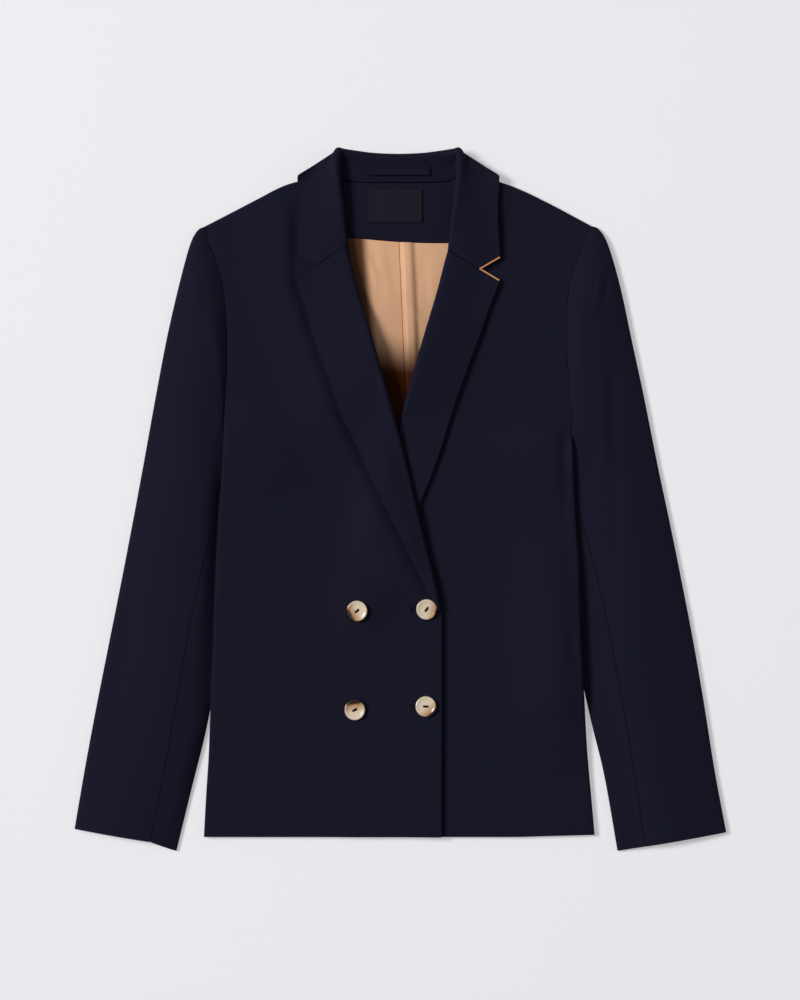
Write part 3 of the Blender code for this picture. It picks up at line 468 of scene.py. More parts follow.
@dataclass(frozen=True)
class LiningSatin(Finish):
    """Copper viscose satin: long floats along the length give it a bright soft gloss."""

    name: str = "copper_satin"
    roughness: float = 0.40
    slot: Slot = Slot.SATIN
    base: str = "f4c49d"
    shade: str = "e0a77e"
    # painted shade: the dark copper that the lining is coloured where shade falls in the opening
    depth: str = "3c1b0c"
    haze: str = "f4c9a0"
    float_width: float = 0.9  # the real floats are 0.15 mm; drawn coarser
    cloud_size: float = 26.0
    cloud_share: float = 0.45
    float_share: float = 0.5
    dulled: float = 0.2  # specular level, dimmed with the painted shade of each line
    # painted shade by lines: ax + by + c in metres, the distance from a line; where along it the
    # painted shade starts to fade and ends; and the least share of colour left unshaded
    lines: tuple[tuple[float, float, float, float, float, float], ...] = (
        (0.08, 1.0, 0.0, 0.126, 0.173, 0.0),  # painted shade at the bottom of the opening
        (1.0, 0.09, 0.0177, 0.0, 0.0105, 0.07),  # painted shadow of the right roll line, beside it
        (0.08, 1.0, 0.0, 0.077, 0.3, 0.68),  # painted shade that deepens slowly down the length
    )

    def dress(self, tree: bpy.types.NodeTree) -> dict[str, Any]:
        """Fine threads down the length, a slow change of tone, and painted shade in the opening.
        """
        grain = add_node(tree, "ShaderNodeUVMap", {"uv_map": "grain"})
        long = add_node(tree, "ShaderNodeMapping", {"Scale": (1.0, 0.12, 1.0), "Vector": grain})
        given = {"Scale": 1 / self.float_width, "Detail": 3.0, "Vector": long}
        floats = add_node(tree, "ShaderNodeTexNoise", given)
        given = {"Scale": 1 / self.cloud_size, "Detail": 1.5, "Vector": long}
        tone = add_node(tree, "ShaderNodeTexNoise", given)
        given = {"operation": "MULTIPLY", 1: self.float_share, 0: floats}
        mixed = add_node(tree, "ShaderNodeMath", given)
        given = {"operation": "MULTIPLY_ADD", 1: self.cloud_share, 0: tone, 2: mixed}
        share = add_node(tree, "ShaderNodeMath", given)
        given = {"data_type": "RGBA", 6: linear(self.base), 7: linear(self.shade), 0: share}
        colour, gloss = add_node(tree, "ShaderNodeMix", given, 2), None
        place = add_node(tree, "ShaderNodeTexCoord", {}, "Object")
        # each line mixes in the painted shade colour and dims the gloss with it
        for a, b, c, low, high, least in self.lines:
            given = {"operation": "DOT_PRODUCT", 1: (a, b, 0), 0: place}
            way = add_node(tree, "ShaderNodeVectorMath", given, "Value")
            given = {"interpolation_type": "SMOOTHSTEP", "From Min": low - c}
            given |= {"From Max": high - c, "To Min": least, "Value": way}
            clear = add_node(tree, "ShaderNodeMapRange", given)
            given = {"data_type": "RGBA", 6: linear(self.depth), 7: colour, 0: clear}
            colour = add_node(tree, "ShaderNodeMix", given, 2)
            given = {"operation": "MULTIPLY", 0: clear, 1: gloss or self.dulled}
            gloss = add_node(tree, "ShaderNodeMath", given)
        given = {"Strength": 0.15, "Distance": 0.0002, "Height": floats}
        return {
            "Base Color": colour,
            "Normal": add_node(tree, "ShaderNodeBump", given),
            "Specular IOR Level": gloss,
            "Anisotropic": 0.45,
            "Sheen Weight": 0.02,
            "Sheen Tint": linear(self.haze),
        }


@dataclass(frozen=True)
class WovenTaffeta(Finish):
    """A label woven of fine polyester: flat, close and a little shinier than the wool."""

    name: str = "woven_polyester"
    roughness: float = 0.5
    slot: Slot = Slot.LABEL
    base: str = "0a0c19"
    weft: str = "101325"
    thread: float = 1.2  # the real threads are 0.25 mm apart; drawn coarser
    warp_thread: float = 0.96
    weft_share: float = 0.7

    def dress(self, tree: bpy.types.NodeTree) -> dict[str, Any]:
        """Weft ribs across the label, crossed by a fainter warp."""
        grain = add_node(tree, "ShaderNodeUVMap", {"uv_map": "grain"})
        waves = []
        for direction, pitch in (("Y", self.thread), ("X", self.warp_thread)):
            given = {"bands_direction": direction, "Scale": TURN / (pitch * self.STRAIGHT)}
            given |= {"Distortion": 0.6, "Vector": grain}
            waves.append(add_node(tree, "ShaderNodeTexWave", given, "Fac"))
        given = {"operation": "MULTIPLY", 0: waves[0], 1: waves[1]}
        cross = add_node(tree, "ShaderNodeMath", given)
        given = {"operation": "MULTIPLY", 1: self.weft_share, 0: cross}
        faint = add_node(tree, "ShaderNodeMath", given)
        given = {"data_type": "RGBA", 6: linear(self.base), 7: linear(self.weft), 0: faint}
        colour = add_node(tree, "ShaderNodeMix", given, 2)
        given = {"Strength": 0.15, "Distance": 0.0002, "Height": cross}
        return {
            "Base Color": colour,
            "Normal": add_node(tree, "ShaderNodeBump", given),
            "Specular IOR Level": 0.2,
            "Sheen Weight": 0.05,
        }


@dataclass(frozen=True)
class PolishedHorn(Finish):
    """Buffalo horn, turned and polished: cream with a tan cast, and brown at one side."""

    name: str = "polished_horn"
    roughness: float = 0.24
    slot: Slot = Slot.HORN
    cream: str = "ead8be"
    tan: str = "b9854f"
    brown: str = "2a160c"
    streak: float = 2.4
    push: float = 3.4  # how far a streak shifts the colours, in millimetres
    tan_range: Point = (-1.0, 10.0)  # from the middle towards the dark flank
    flank_range: Point = (7.6, 10.6)
    rim_shadow_range: Point = (9.5, 10.9)  # painted shadow ring: from the middle to the rim, darkened to brown

    def dress(self, tree: bpy.types.NodeTree) -> dict[str, Any]:
        """Growth streaks, the dark flank that the button's own map places, and a painted shadow
        ring at the rim.
        """
        face = add_node(tree, "ShaderNodeUVMap", {"uv_map": "grain"})
        place = add_node(tree, "ShaderNodeTexCoord", {}, "Object")
        given = {"Scale": 1 / (self.streak * MM), "Detail": 3.0, "Distortion": 0.8}
        streaks = add_node(tree, "ShaderNodeTexNoise", given | {"Vector": place})
        across = add_node(tree, "ShaderNodeSeparateXYZ", {0: face}, "X")
        given = {"operation": "MULTIPLY_ADD", 1: self.push, 0: streaks, 2: across}
        pushed = add_node(tree, "ShaderNodeMath", given)
        colour = linear(self.cream)
        for source, (low, high), darker in (
            (pushed, self.tan_range, self.tan),
            (pushed, self.flank_range, self.brown),
            # painted shadow: the rim darkened to brown all round
            (across.node.outputs["Y"], self.rim_shadow_range, self.brown),
        ):
            given = {"interpolation_type": "SMOOTHSTEP", "From Min": low, "From Max": high}
            dark = add_node(tree, "ShaderNodeMapRange", given | {"Value": source})
            given = {"data_type": "RGBA", 6: colour, 7: linear(darker), 0: dark}
            colour = add_node(tree, "ShaderNodeMix", given, 2)
        return {"Base Color": colour, "Coat Weight": 0.35, "Coat Roughness": 0.08}


@dataclass(frozen=True)
class BiasTape(Finish):
    """A bias strip of copper satin, folded and sewn into an edge: fine slanting threads."""

    name: str = "copper_bias_tape"
    roughness: float = 0.45
    slot: Slot = Slot.PIPING
    base: str = "e0a06a"
    shade: str = "b06c3c"
    thread: float = 0.8  # drawn coarser than the real 0.2 mm
    thread_share: float = 0.4

    def dress(self, tree: bpy.types.NodeTree) -> dict[str, Any]:
        """Slanting threads, light on dark."""
        grain = add_node(tree, "ShaderNodeUVMap", {"uv_map": "grain"})
        given = {"bands_direction": "DIAGONAL", "Scale": TURN / (self.thread * self.SLANTED)}
        given |= {"Distortion": 1.0, "Vector": grain}
        threads = add_node(tree, "ShaderNodeTexWave", given, "Fac")
        given = {"operation": "MULTIPLY", 1: self.thread_share, 0: threads}
        faint = add_node(tree, "ShaderNodeMath", given)
        given = {"data_type": "RGBA", 6: linear(self.base), 7: linear(self.shade), 0: faint}
        return {"Base Color": add_node(tree, "ShaderNodeMix", given, 2), "Sheen Weight": 0.2}


@dataclass(frozen=True)
class SewingThread(Finish):
    """Twisted polyester thread: dull, with a light line along each turn of its twist."""

    name: str = "navy_thread"
    roughness: float = 0.6
    base: str = "0a0a14"
    light: str = "171728"
    twist: float = 0.5

    def dress(self, tree: bpy.types.NodeTree) -> dict[str, Any]:
        """The twist, as slanting bands."""
        place = add_node(tree, "ShaderNodeTexCoord", {}, "Object")
        given = {"bands_direction": "DIAGONAL", "Vector": place}
        given["Scale"] = TURN / (self.twist * MM * self.SLANTED_3D)
        bands = add_node(tree, "ShaderNodeTexWave", given, "Fac")
        given = {"data_type": "RGBA", 6: linear(self.base), 7: linear(self.light), 0: bands}
        return {
            "Base Color": add_node(tree, "ShaderNodeMix", given, 2),
            "Sheen Weight": 0.02,
            "Specular IOR Level": 0.08,
        }


@dataclass(frozen=True)
class PaintedFloor(Finish):
    """A matt painted studio floor: pale and even."""

    name: str = "pale_matt_paint"
    roughness: float = 0.95
    base: str = "cfced1"
    trace: str = "c0bfc2"
    trace_share: float = 0.04
    pale: str = "e8e7ea"
    glow: float = 0.43  # a light table: lit a little from below

    def dress(self, tree: bpy.types.NodeTree) -> dict[str, Any]:
        """One even colour with a trace of roller texture."""
        place = add_node(tree, "ShaderNodeTexCoord", {}, "Object")
        given = {"Scale": 6.0, "Detail": 1.0, "Vector": place}
        roller = add_node(tree, "ShaderNodeTexNoise", given)
        given = {"operation": "MULTIPLY", 1: self.trace_share, 0: roller}
        faint = add_node(tree, "ShaderNodeMath", given)
        given = {"data_type": "RGBA", 6: linear(self.base), 7: linear(self.trace), 0: faint}
        return {
            "Base Color": add_node(tree, "ShaderNodeMix", given, 2),
            "Specular IOR Level": 0.1,
            "Emission Color": linear(self.pale),
            "Emission Strength": self.glow,
        }


WOOL = WoolTwill()
SATIN = LiningSatin()
TAFFETA = WovenTaffeta()
HORN = PolishedHorn()
TAPE = BiasTape()
THREAD = SewingThread()
DARK_THREAD = SewingThread(name="black_thread", base="070709", light="121114")


# ---- making pieces ----------------------------------------------------------
def linked(name: str, data: bpy.types.ID) -> bpy.types.Object:
    """A new object in the scene that shows a mesh, a curve, a light or a camera."""
    made = bpy.data.objects.new(name, data)
    bpy.context.scene.collection.objects.link(made)
    return made


def mesh_of(work: bmesh.types.BMesh, name: str) -> bpy.types.Mesh:
    """A mesh of what a bmesh holds; the bmesh is freed."""
    mesh = bpy.data.meshes.new(name)
    work.to_mesh(mesh)
    work.free()
    return mesh


def result_of(piece: bpy.types.Object) -> bpy.types.Mesh:
    """A new mesh of what an object's curve or modifiers make."""
    bpy.context.view_layer.update()
    graph = bpy.context.evaluated_depsgraph_get()
    return bpy.data.meshes.new_from_object(piece.evaluated_get(graph), depsgraph=graph)


def made_plain(piece: bpy.types.Object) -> None:
    """Give the object its modifiers' result as its own mesh."""
    mesh = result_of(piece)
    mesh.name = piece.name
    piece.modifiers.clear()
    piece.data = mesh


def attach(piece: bpy.types.Object, finish: Finish, nodes: Sequence[str] = ()) -> None:
    """Fix a finished piece to the garment.

    Args:
        piece: The finished object.
        finish: Its finish; not used.
        nodes: The CAD nodes that it stands for.
    """
    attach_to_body(piece, "root")
    if nodes:
        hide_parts(*nodes)
    piece.data.calc_loop_triangles()
    log.info("%s: %d triangles", piece.name, len(piece.data.loop_triangles))


@dataclass
class Cloth:
    """A sewn piece: a wall of cloth on grids of points that share what coincides."""

    node: str
    grids: list[Array]
    wall: float
    finish: Finish = WOOL
    flip: bool = False
    held: Held = Held.LAID
    rests_on: tuple[str, ...] = ()
    trims: tuple["Cloth", ...] = ()  # narrow pieces that are sewn on this one

    ROUNDING = 0.3  # of the rim's edges, as a share of the wall
    SHARP = 50.0  # degrees; an edge over this is rounded
    SAME = 0.02  # points as near as this are one

    def make(self) -> None:
        """Make the piece and what is sewn on it, and work out its cut."""
        trims = [trim.build() for trim in self.trims]
        piece = self.build()
        width, length, area = self.cut()
        list(self.rests_on)
        min(area, width * length)

    def build(self) -> bpy.types.Object:
        """Build, wall and finish the piece; returns its object."""
        piece = linked(f"{self.node}_cloth", self.sheet())
        thick = piece.modifiers.new("wall", "SOLIDIFY")
        thick.thickness = self.wall * MM
        thick.offset = 0.0
        thick.use_rim = True
        soft = piece.modifiers.new("soft_rim", "BEVEL")
        soft.width = self.ROUNDING * self.wall * MM
        soft.segments = 2
        soft.limit_method = "ANGLE"
        soft.angle_limit = math.radians(self.SHARP)
        soft.harden_normals = True
        made_plain(piece)
        attach(piece, self.finish, [self.node])
        return piece

    def sheet(self) -> bpy.types.Mesh:
        """The middle of the cloth as a mesh, with its grain as a map in millimetres."""
        work = bmesh.new()
        layer = work.loops.layers.uv.new("grain")
        for grid in self.grids:
            points = [[work.verts.new(p) for p in row] for row in (grid * MM).tolist()]
            across, along = self.grain(grid)
            for i, j in np.ndindex(len(points) - 1, len(points[0]) - 1):
                corners = [(i, j), (i, j + 1), (i + 1, j + 1), (i + 1, j)]
                if self.flip:
                    corners.reverse()
                face = work.faces.new([points[a][b] for a, b in corners])
                for loop, (a, b) in zip(face.loops, corners):
                    loop[layer].uv = (across[a, b], along[a, b])
        bmesh.ops.remove_doubles(work, verts=work.verts, dist=self.SAME * MM)
        mesh = mesh_of(work, self.node)
        mesh.materials.append(self.finish.material())
        mesh.shade_smooth()
        return mesh

    @staticmethod
    def steps(grid: Array) -> tuple[Array, Array]:
        """Lengths of the steps along each row, and along each column."""
        return tuple(np.linalg.norm(np.diff(grid, axis=way), axis=2) for way in (1, 0))

    def grain(self, grid: Array) -> tuple[Array, Array]:
        """How far each point lies along the weft and the warp, in millimetres."""
        weft, warp = self.steps(grid)
        across = np.pad(np.cumsum(weft, axis=1), ((0, 0), (1, 0))) + grid[:, :1, 0]
        along = np.pad(np.cumsum(warp, axis=0), ((1, 0), (0, 0))) + grid[:1, :, 1]
        return across, along

    def cut(self) -> tuple[float, float, float]:
        """Width, length and area in metres of the cloth that the piece was cut from."""
        width = length = area = 0.0
        for grid in self.grids:
            weft, warp = self.steps(grid)
            diagonal = np.cross(grid[1:, 1:] - grid[:-1, :-1], grid[1:, :-1] - grid[:-1, 1:])
            width += float(weft.sum(axis=1).max())
            length = max(length, float(warp.sum(axis=0).max()))
            area += float(np.linalg.norm(diagonal, axis=2).sum()) / 2
        return width * MM, length * MM, area * MM * MM


# ---- sleeves ----------------------------------------------------------------
class Tuck(NamedTuple):
    """How a sleeve sinks into the crease along the body."""

    reach: float  # from the crease to where the sleeve is full again
    power: float  # of the slope in between; more is steeper at the crease
    fuller: float  # how much higher the sleeve is there


@dataclass
class Sleeve:
    """A two piece sleeve, a flattened tube from the armhole to the cuff."""

    side: Side
    armhole: EdgeLine
    side_seam: EdgeLine
    wall: float = 1.8
    bulge: float = 5.4  # the top stands higher in the middle
    tucked: float = 4.0  # height of the sleeve in the crease along the body
    past_seam: float = 1.5  # from the body's side seam out to the crease
    tuck_keys: Point = (3.5, 6.0)  # rows of the table over which the crease begins
    loose_keys: Point = (-1.8, -0.2)  # from the cuff, rows over which the fullness ends
    cuff_keys: Point = (-1.5, -0.5)  # the same for the bend of the cuff
    elbow_seam: float = 0.22  # share from the outer edge, on the underside
    cuff_bend: float = 4.0  # of the right cuff's hem at the elbow seam
    flat_edge: float = 0.03  # share of the width that the fold takes
    allowance: float = 5.5  # width of the armhole's seam allowance
    sunk: float = 1.9  # how far the allowance lies under the sleeve's top
    half_gap: float = SEAM / 2 / 110  # half of a seam's gap, as a share of the width
    rows_between: int = 10  # rows from one row of the table to the next
    wide: int = 22  # columns of the broad half of a piece
    narrow: int = 9
    bed_ys: Point = (-300.0, 62.0)  # between these the back lies on the sleeve

    TUCK = {Side.RIGHT: Tuck(14.0, 1.8, 3.2), Side.LEFT: Tuck(44.0, 1.0, 0.0)}
    # right outer x, y, right inner x, y, left outer x, y, left inner x, y, height, seam
    TABLE = np.array(
        [
            (-199.5, 279.0, -180.3, 85.0, 194.5, 279.5, 175.3, 85.0, 5.8, 0.95),
            (-207.0, 274.5, -180.2, 79.0, 202.4, 276.0, 175.2, 79.0, 6.5, 0.95),
            (-214.6, 259.0, -180.1, 71.0, 211.6, 260.0, 175.1, 71.0, 6.9, 0.95),
            (-226.0, 217.0, -179.0, 60.0, 224.0, 217.5, 173.8, 59.0, 6.8, 0.96),
            (-238.0, 165.0, -178.4, 45.0, 235.6, 164.0, 173.2, 43.0, 6.5, 0.96),
            (-250.0, 103.0, -178.2, 22.0, 248.5, 105.0, 172.8, 20.0, 6.2, 0.95),
            (-262.4, 35.0, -179.2, -12.0, 262.0, 38.0, 172.8, -12.0, 6.0, 0.90),
            (-274.2, -28.0, -178.7, -54.0, 276.0, -28.0, 172.2, -54.0, 5.9, 0.80),
            (-286.2, -90.0, -179.8, -108.0, 288.5, -90.0, 174.0, -108.0, 5.9, 0.718),
            (-298.2, -150.0, -186.0, -166.0, 300.0, -150.0, 180.6, -160.0, 5.9, 0.695),
            (-310.5, -212.0, -197.6, -232.0, 310.6, -212.0, 194.2, -224.0, 5.9, 0.70),
            (-322.2, -275.0, -213.6, -297.0, 320.6, -275.0, 208.2, -282.0, 5.9, 0.728),
            (-332.6, -335.8, -228.6, -358.6, 332.6, -339.2, 221.6, -358.4, 5.9, 0.75),
        ]
    )
    LAST = len(TABLE) - 1

    def section(self, key: float, path: Array) -> Array:
        """Points of one cross section.

        Args:
            key: Row of the table, or a place between two rows.
            path: Rows of q, from the outer edge (0) to the inner edge (1), and
                turn, from the top (1) round to the underside (-1).

        Returns:
            The points through the middle of the wall.
        """
        q, turn = path[:, 0], path[:, 1]
        first, past = (0 if self.side < 0 else 4), key - self.LAST
        row = through(np.arange(self.LAST + 1), self.TABLE, [key])[0]
        ox, oy, ix, iy = row[first : first + 4]
        share = key / self.LAST
        height = row[8] + self.bulge * np.sin(math.pi * q) * smooth(share * 8)
        width = math.hypot(ix - ox, iy - oy)
        body_x = float(self.side_seam.x(self.side, iy)) + self.past_seam * self.side
        crease = min(1.0, (body_x - ox) / (ix - ox))
        tuck = self.TUCK[self.side]
        near = np.clip(1 - (crease - q) * width / tuck.reach, 0.0, 1.0) ** tuck.power
        begun = float(ramp(key, *self.tuck_keys))
        height += tuck.fuller * begun * ramp(q, 0, 0.75) * (1 - ramp(past, *self.loose_keys))
        height -= (height - self.tucked) * near * begun
        radius = (height - self.wall) / 2
        inset = self.wall / 2 + radius * (1 - np.sqrt(np.maximum(0.0, 1 - turn * turn)))
        inset /= width
        q = np.clip(q, inset, 1 - inset)
        x, y = ox + (ix - ox) * q, oy + (iy - oy) * q
        if self.side < 0:
            seam = self.TABLE[-1, 9]
            rise = np.minimum(q / seam, (1 - q) / (1 - seam))
            y = y + self.cuff_bend * rise * ramp(past, *self.cuff_keys)
        top_y, low_y = self.armhole.rows[0][0], self.armhole.rows[-1][0]
        ends = self.armhole.x(self.side, [top_y, low_y])
        bow = self.armhole.x(self.side, top_y + (low_y - top_y) * q)
        bow = bow - ends[0] * (1 - q) - ends[1] * q
        x = x + bow * (1 - smooth(share * 5)) + self.side * EDGE_SEAM * (key == 0)
        z = self.wall / 2 + radius * (1 + turn)
        away = smooth(share * 30) * smooth(np.minimum(q, 1 - q) * 9) * (1 - near * begun)
        drape = DRAPES[f"sleeve_{self.side.name.lower()}"]
        return grid_of(x, y, z + drape.lift(x, y) * smooth(turn) * away)

    def grids(self) -> tuple[Array, Array]:
        """Grids of the upper and the under sleeve, cut at the front and the elbow seam."""
        turns = np.sin(np.radians(np.linspace(67.5, -67.5, 7)))
        gap, low, flat = self.half_gap, self.elbow_seam, self.flat_edge
        upper, under = [], []
        for key in np.linspace(0, self.LAST, self.LAST * self.rows_between + 1):
            seam = float(through(np.arange(self.LAST + 1), self.TABLE[:, 9], key))
            inner = max(1 - flat, seam + 2 * gap)
            for rows, edge, over, below in (
                (upper, 0.0, (seam - gap, flat, self.wide), (flat, low - gap, self.narrow)),
                (under, 1.0, (seam + gap, inner, self.narrow), (1 - flat, low + gap, self.wide)),
            ):
                path = [(q, 1.0) for q in np.linspace(*over)] + [(edge, turn) for turn in turns]
                path += [(q, -1.0) for q in np.linspace(*below)]
                rows.append(self.section(key, np.array(path)))
        return self.turned_in(upper), self.turned_in(under)

    def turned_in(self, rows: list[Array]) -> Array:
        """The rows with the seam allowance of the armhole, turned in under the front."""
        first = rows[0]
        top = ramp(first[:, 2], self.wall, self.wall + 1.6)
        ends = ramp(first[:, 1], 85.0, 93.0) * ramp(first[:, 1], 281.5, 277.5)
        allowance = []
        for share in (1.0, 0.45):
            row = first.copy()
            row[:, 0] -= self.side * (0.2 + self.allowance * share * top * ends)
            row[:, 2] -= self.sunk * top * ends * min(1.0, 2.0 * share)
            allowance.append(row)
        return np.array(allowance + rows)

    def make(self, bed: HeightMap) -> None:
        """Make both pieces and raise the map of what the back lies on."""
        name, (low, high) = self.side.name.lower(), self.bed_ys
        for part, grid in zip(("upper", "under"), self.grids()):
            flip = (self.side > 0) == (part == "upper")
            Cloth(f"sleeve_{part}_{name}", [grid], self.wall, flip=flip).make()
            bed.add(grid, self.wall / 2, lambda x, y: (y < high) & (y > low))


# ---- the body's plan --------------------------------------------------------
@dataclass
class Pattern:
    """The outline of the body's pieces, seen from above."""

    front_edge: float = 41.8  # x of the right front's edge, which is on top
    underlap_edge: float = -44.8  # x of the left front's edge
    neck_edge_gap: float = 2.0  # from the collar's neck seam to the front's neck edge
    notch: float = 0.56  # place of the notch on the lapel's top edge
    hem_rise: float = 2.2  # of the hem at the left side seam
    hem_xs: Point = (110.0, 190.0)  # over this the hem rises
    hem_fade: float = 60.0  # up from the hem
    drop_y: float = 150.0  # from here up the lapel's rows drop towards the gorge
    sag_fade: float = 110.0  # down from the gorge, the lapel's top edge loses its sag
    gorge_gap: float = 0.8  # between the lapel's top edge and the collar
    side_seam: EdgeLine = EdgeLine(
        (
            (84, -179.6, 174.6), (40, -181.0, 176.2), (-10, -184.5, 178.5), (-70, -188.0, 182.5),
            (-140, -190.4, 184.4), (-210, -193.5, 188.0), (-260, -195.6, 191.0),
            (-300, -198.2, 194.5), (-344, -200.6, 198.2),
        )
    )
    armhole: EdgeLine = EdgeLine(
        (
            (279, -199.5, 194.5), (265, -196.8, 189.0), (250, -191.0, 183.0),
            (235, -185.6, 177.2), (215, -181.0, 172.2), (190, -178.3, 170.0),
            (160, -177.2, 169.5), (130, -177.4, 171.3), (105, -179.0, 173.8), (84, -179.9, 174.9),
        )
    )
    roll_line: EdgeLine = EdgeLine(
        (
            (262, -54.2, 50.4), (240, -49.6, 44.4), (215, -43.0, 38.0), (174, -31.0, 25.8),
            (82, -5.0, 0.0), (41, 5.5, -9.6), (-6, 16.5, -20.6), (-56, 28.5, -32.0),
            (-90, 37.2, -40.6), (-112, 41.2, -43.6),
        )
    )
    lapel_edge: EdgeLine = EdgeLine(
        (
            (222, -106.0, 100.5), (212, -102.0, 96.6), (196, -96.4, 90.2), (173, -90.0, 82.2),
            (122, -71.6, 63.5), (82, -57.4, 49.8), (57, -44.6, 42.4), (31, -32.8, 33.2),
            (1, -19.0, 21.4), (-29, -4.6, 8.0), (-52, 7.0, -3.0), (-74, 18.2, -15.0),
            (-92, 27.4, -26.0), (-103, 33.6, -32.4), (-113, 38.6, -38.0),
        )
    )
    # roll line y, how much lower a cross thread of the lapel ends than it starts
    SLANT = np.array([(262, 40.0), (174, 24.0), (82, 13.0), (-56, 4.0), (-112, 0.0)])
    # roll line y, radius of the fold to the middle of the front's cloth
    RADIUS = np.array([(262, 2.3), (140, 1.9), (70, 1.15), (-112, 1.05)])
    # share of the shoulder's length from the armhole, right x, y, left x, y
    SHOULDER = np.array(
        [
            (0.00, -199.5, 279.0, 194.5, 279.5),
            (0.26, -163.5, 296.5, 159.0, 298.5),
            (0.62, -114.5, 321.6, 109.5, 321.3),
            (0.72, -101.0, 325.6, 96.0, 325.8),
            (1.00, -66.5, 342.5, 62.5, 342.5),
        ]
    )
    SAG = {Side.RIGHT: -0.8, Side.LEFT: 0.0}  # of the notch under a straight top edge
    GORGE_DROP = {Side.RIGHT: 4.0, Side.LEFT: 10.0}  # of the gorge at the roll, under GORGE_Y

    def side_x(self, side: Side, y: float) -> float:
        """The outer edge of the body at y: side seam, then armhole."""
        line = self.side_seam if y < UNDERARM_Y else self.armhole
        return float(line.x(side, y))

    def shoulder_xy(self, side: Side, share: Array) -> Array:
        """Points on the shoulder seam, from the armhole (0) to the neck point (1)."""
        first = 1 if side < 0 else 3
        return through(self.SHOULDER[:, 0], self.SHOULDER[:, first : first + 2], share)

    def shoulder_y(self, x: Array) -> Array:
        """The shoulder seam's y at any x."""
        x = np.asarray(x, float)
        right = through(self.SHOULDER[:, 1], self.SHOULDER[:, 2], x)
        left = through(self.SHOULDER[:, 3], self.SHOULDER[:, 4], x)
        return np.where(x < 0, right, left)

    def roll_normal(self, side: Side, y: float) -> Point:
        """Unit direction across the roll line, towards the opening."""
        y0, y1 = max(y - 3.0, BREAK_Y), min(y + 3.0, GORGE_Y)
        slope = float(self.roll_line.x(side, y1) - self.roll_line.x(side, y0)) / (y1 - y0)
        slope = min(max(slope, -0.4), 0.4)
        length = math.hypot(1, slope)
        return -side / length, side * slope / length

    def roll_radius(self, y: float) -> float:
        """Radius of the fold at roll line height y."""
        return float(through(self.RADIUS[:, 0], self.RADIUS[:, 1], y))

    def roll_y(self, side: Side, y: float) -> float:
        """Where row y of the lapel starts on the roll line."""
        return y - self.GORGE_DROP[side] * float(ramp(y, self.drop_y, GORGE_Y))

    def fold_start(self, side: Side, y: float) -> Point:
        """Where a front starts to turn over into its lapel."""
        y = self.roll_y(side, y)
        nx, ny = self.roll_normal(side, y)
        back = self.roll_radius(y) + Lapel.OUT + FACING_WALL / 2
        return float(self.roll_line.x(side, y)) - nx * back, y - ny * back

    def neck_edge_x(self, side: Side, y: float) -> float:
        """The front's neck edge, between the gorge and the neck point."""
        neck = Collar.TABLE[Collar.RIDGE :, :2]
        reach = float(through(neck[:, 1], neck[:, 0], y)) + self.neck_edge_gap
        return COLLAR_CENTRE_X + side * reach

    def rows(self) -> tuple[Array, Array]:
        """y of every row of a panel, at its inner edge and at its side edge."""
        low = np.linspace(HEM_Y, BREAK_Y, 48, endpoint=False)
        neck = np.linspace(GORGE_Y, NECK_Y, 15)[1:]
        inner = np.concatenate([low, Lapel.ys(), neck])
        squeeze = (self.SHOULDER[0][2] - UNDERARM_Y) / (NECK_Y - UNDERARM_Y)
        outer = UNDERARM_Y + (inner - UNDERARM_Y) * squeeze
        return inner, np.where(inner < UNDERARM_Y, inner, outer)

    def bent(self, plan: Array, top: Array) -> Array:
        """Bend a panel's upper rows until its last row is the given one."""
        shares = np.interp(self.rows()[0], (BEND_Y, GORGE_Y, NECK_Y), (0, 7 / 11, 1))
        bent = plan + smooth(shares)[:, None, None] * (top - plan[-1])[None]
        x, y = bent[..., 0], bent[..., 1]
        rise = ramp(x, *self.hem_xs) * ramp(y, HEM_Y + self.hem_fade, HEM_Y)
        bent[..., 1] += self.hem_rise * rise
        return bent

    def lapel_line(self, side: Side, y: float) -> Array:
        """One cross thread of the lapel, from the fold to the outer edge."""
        u = Lapel.across()
        start = np.array(self.fold_start(side, y))
        drop = float(through(self.SLANT[:, 0], self.SLANT[:, 1], y))
        edge_y = max(y - drop, self.lapel_edge.rows[-1][0])
        edge = np.array((float(self.lapel_edge.x(side, edge_y)), edge_y))
        line = start + (edge - start) * u[:, None]
        sag = np.minimum(u / self.notch, (1 - u) / (1 - self.notch))
        line[:, 1] -= self.SAG[side] * sag * ramp(y, GORGE_Y - self.sag_fade, GORGE_Y)
        return line


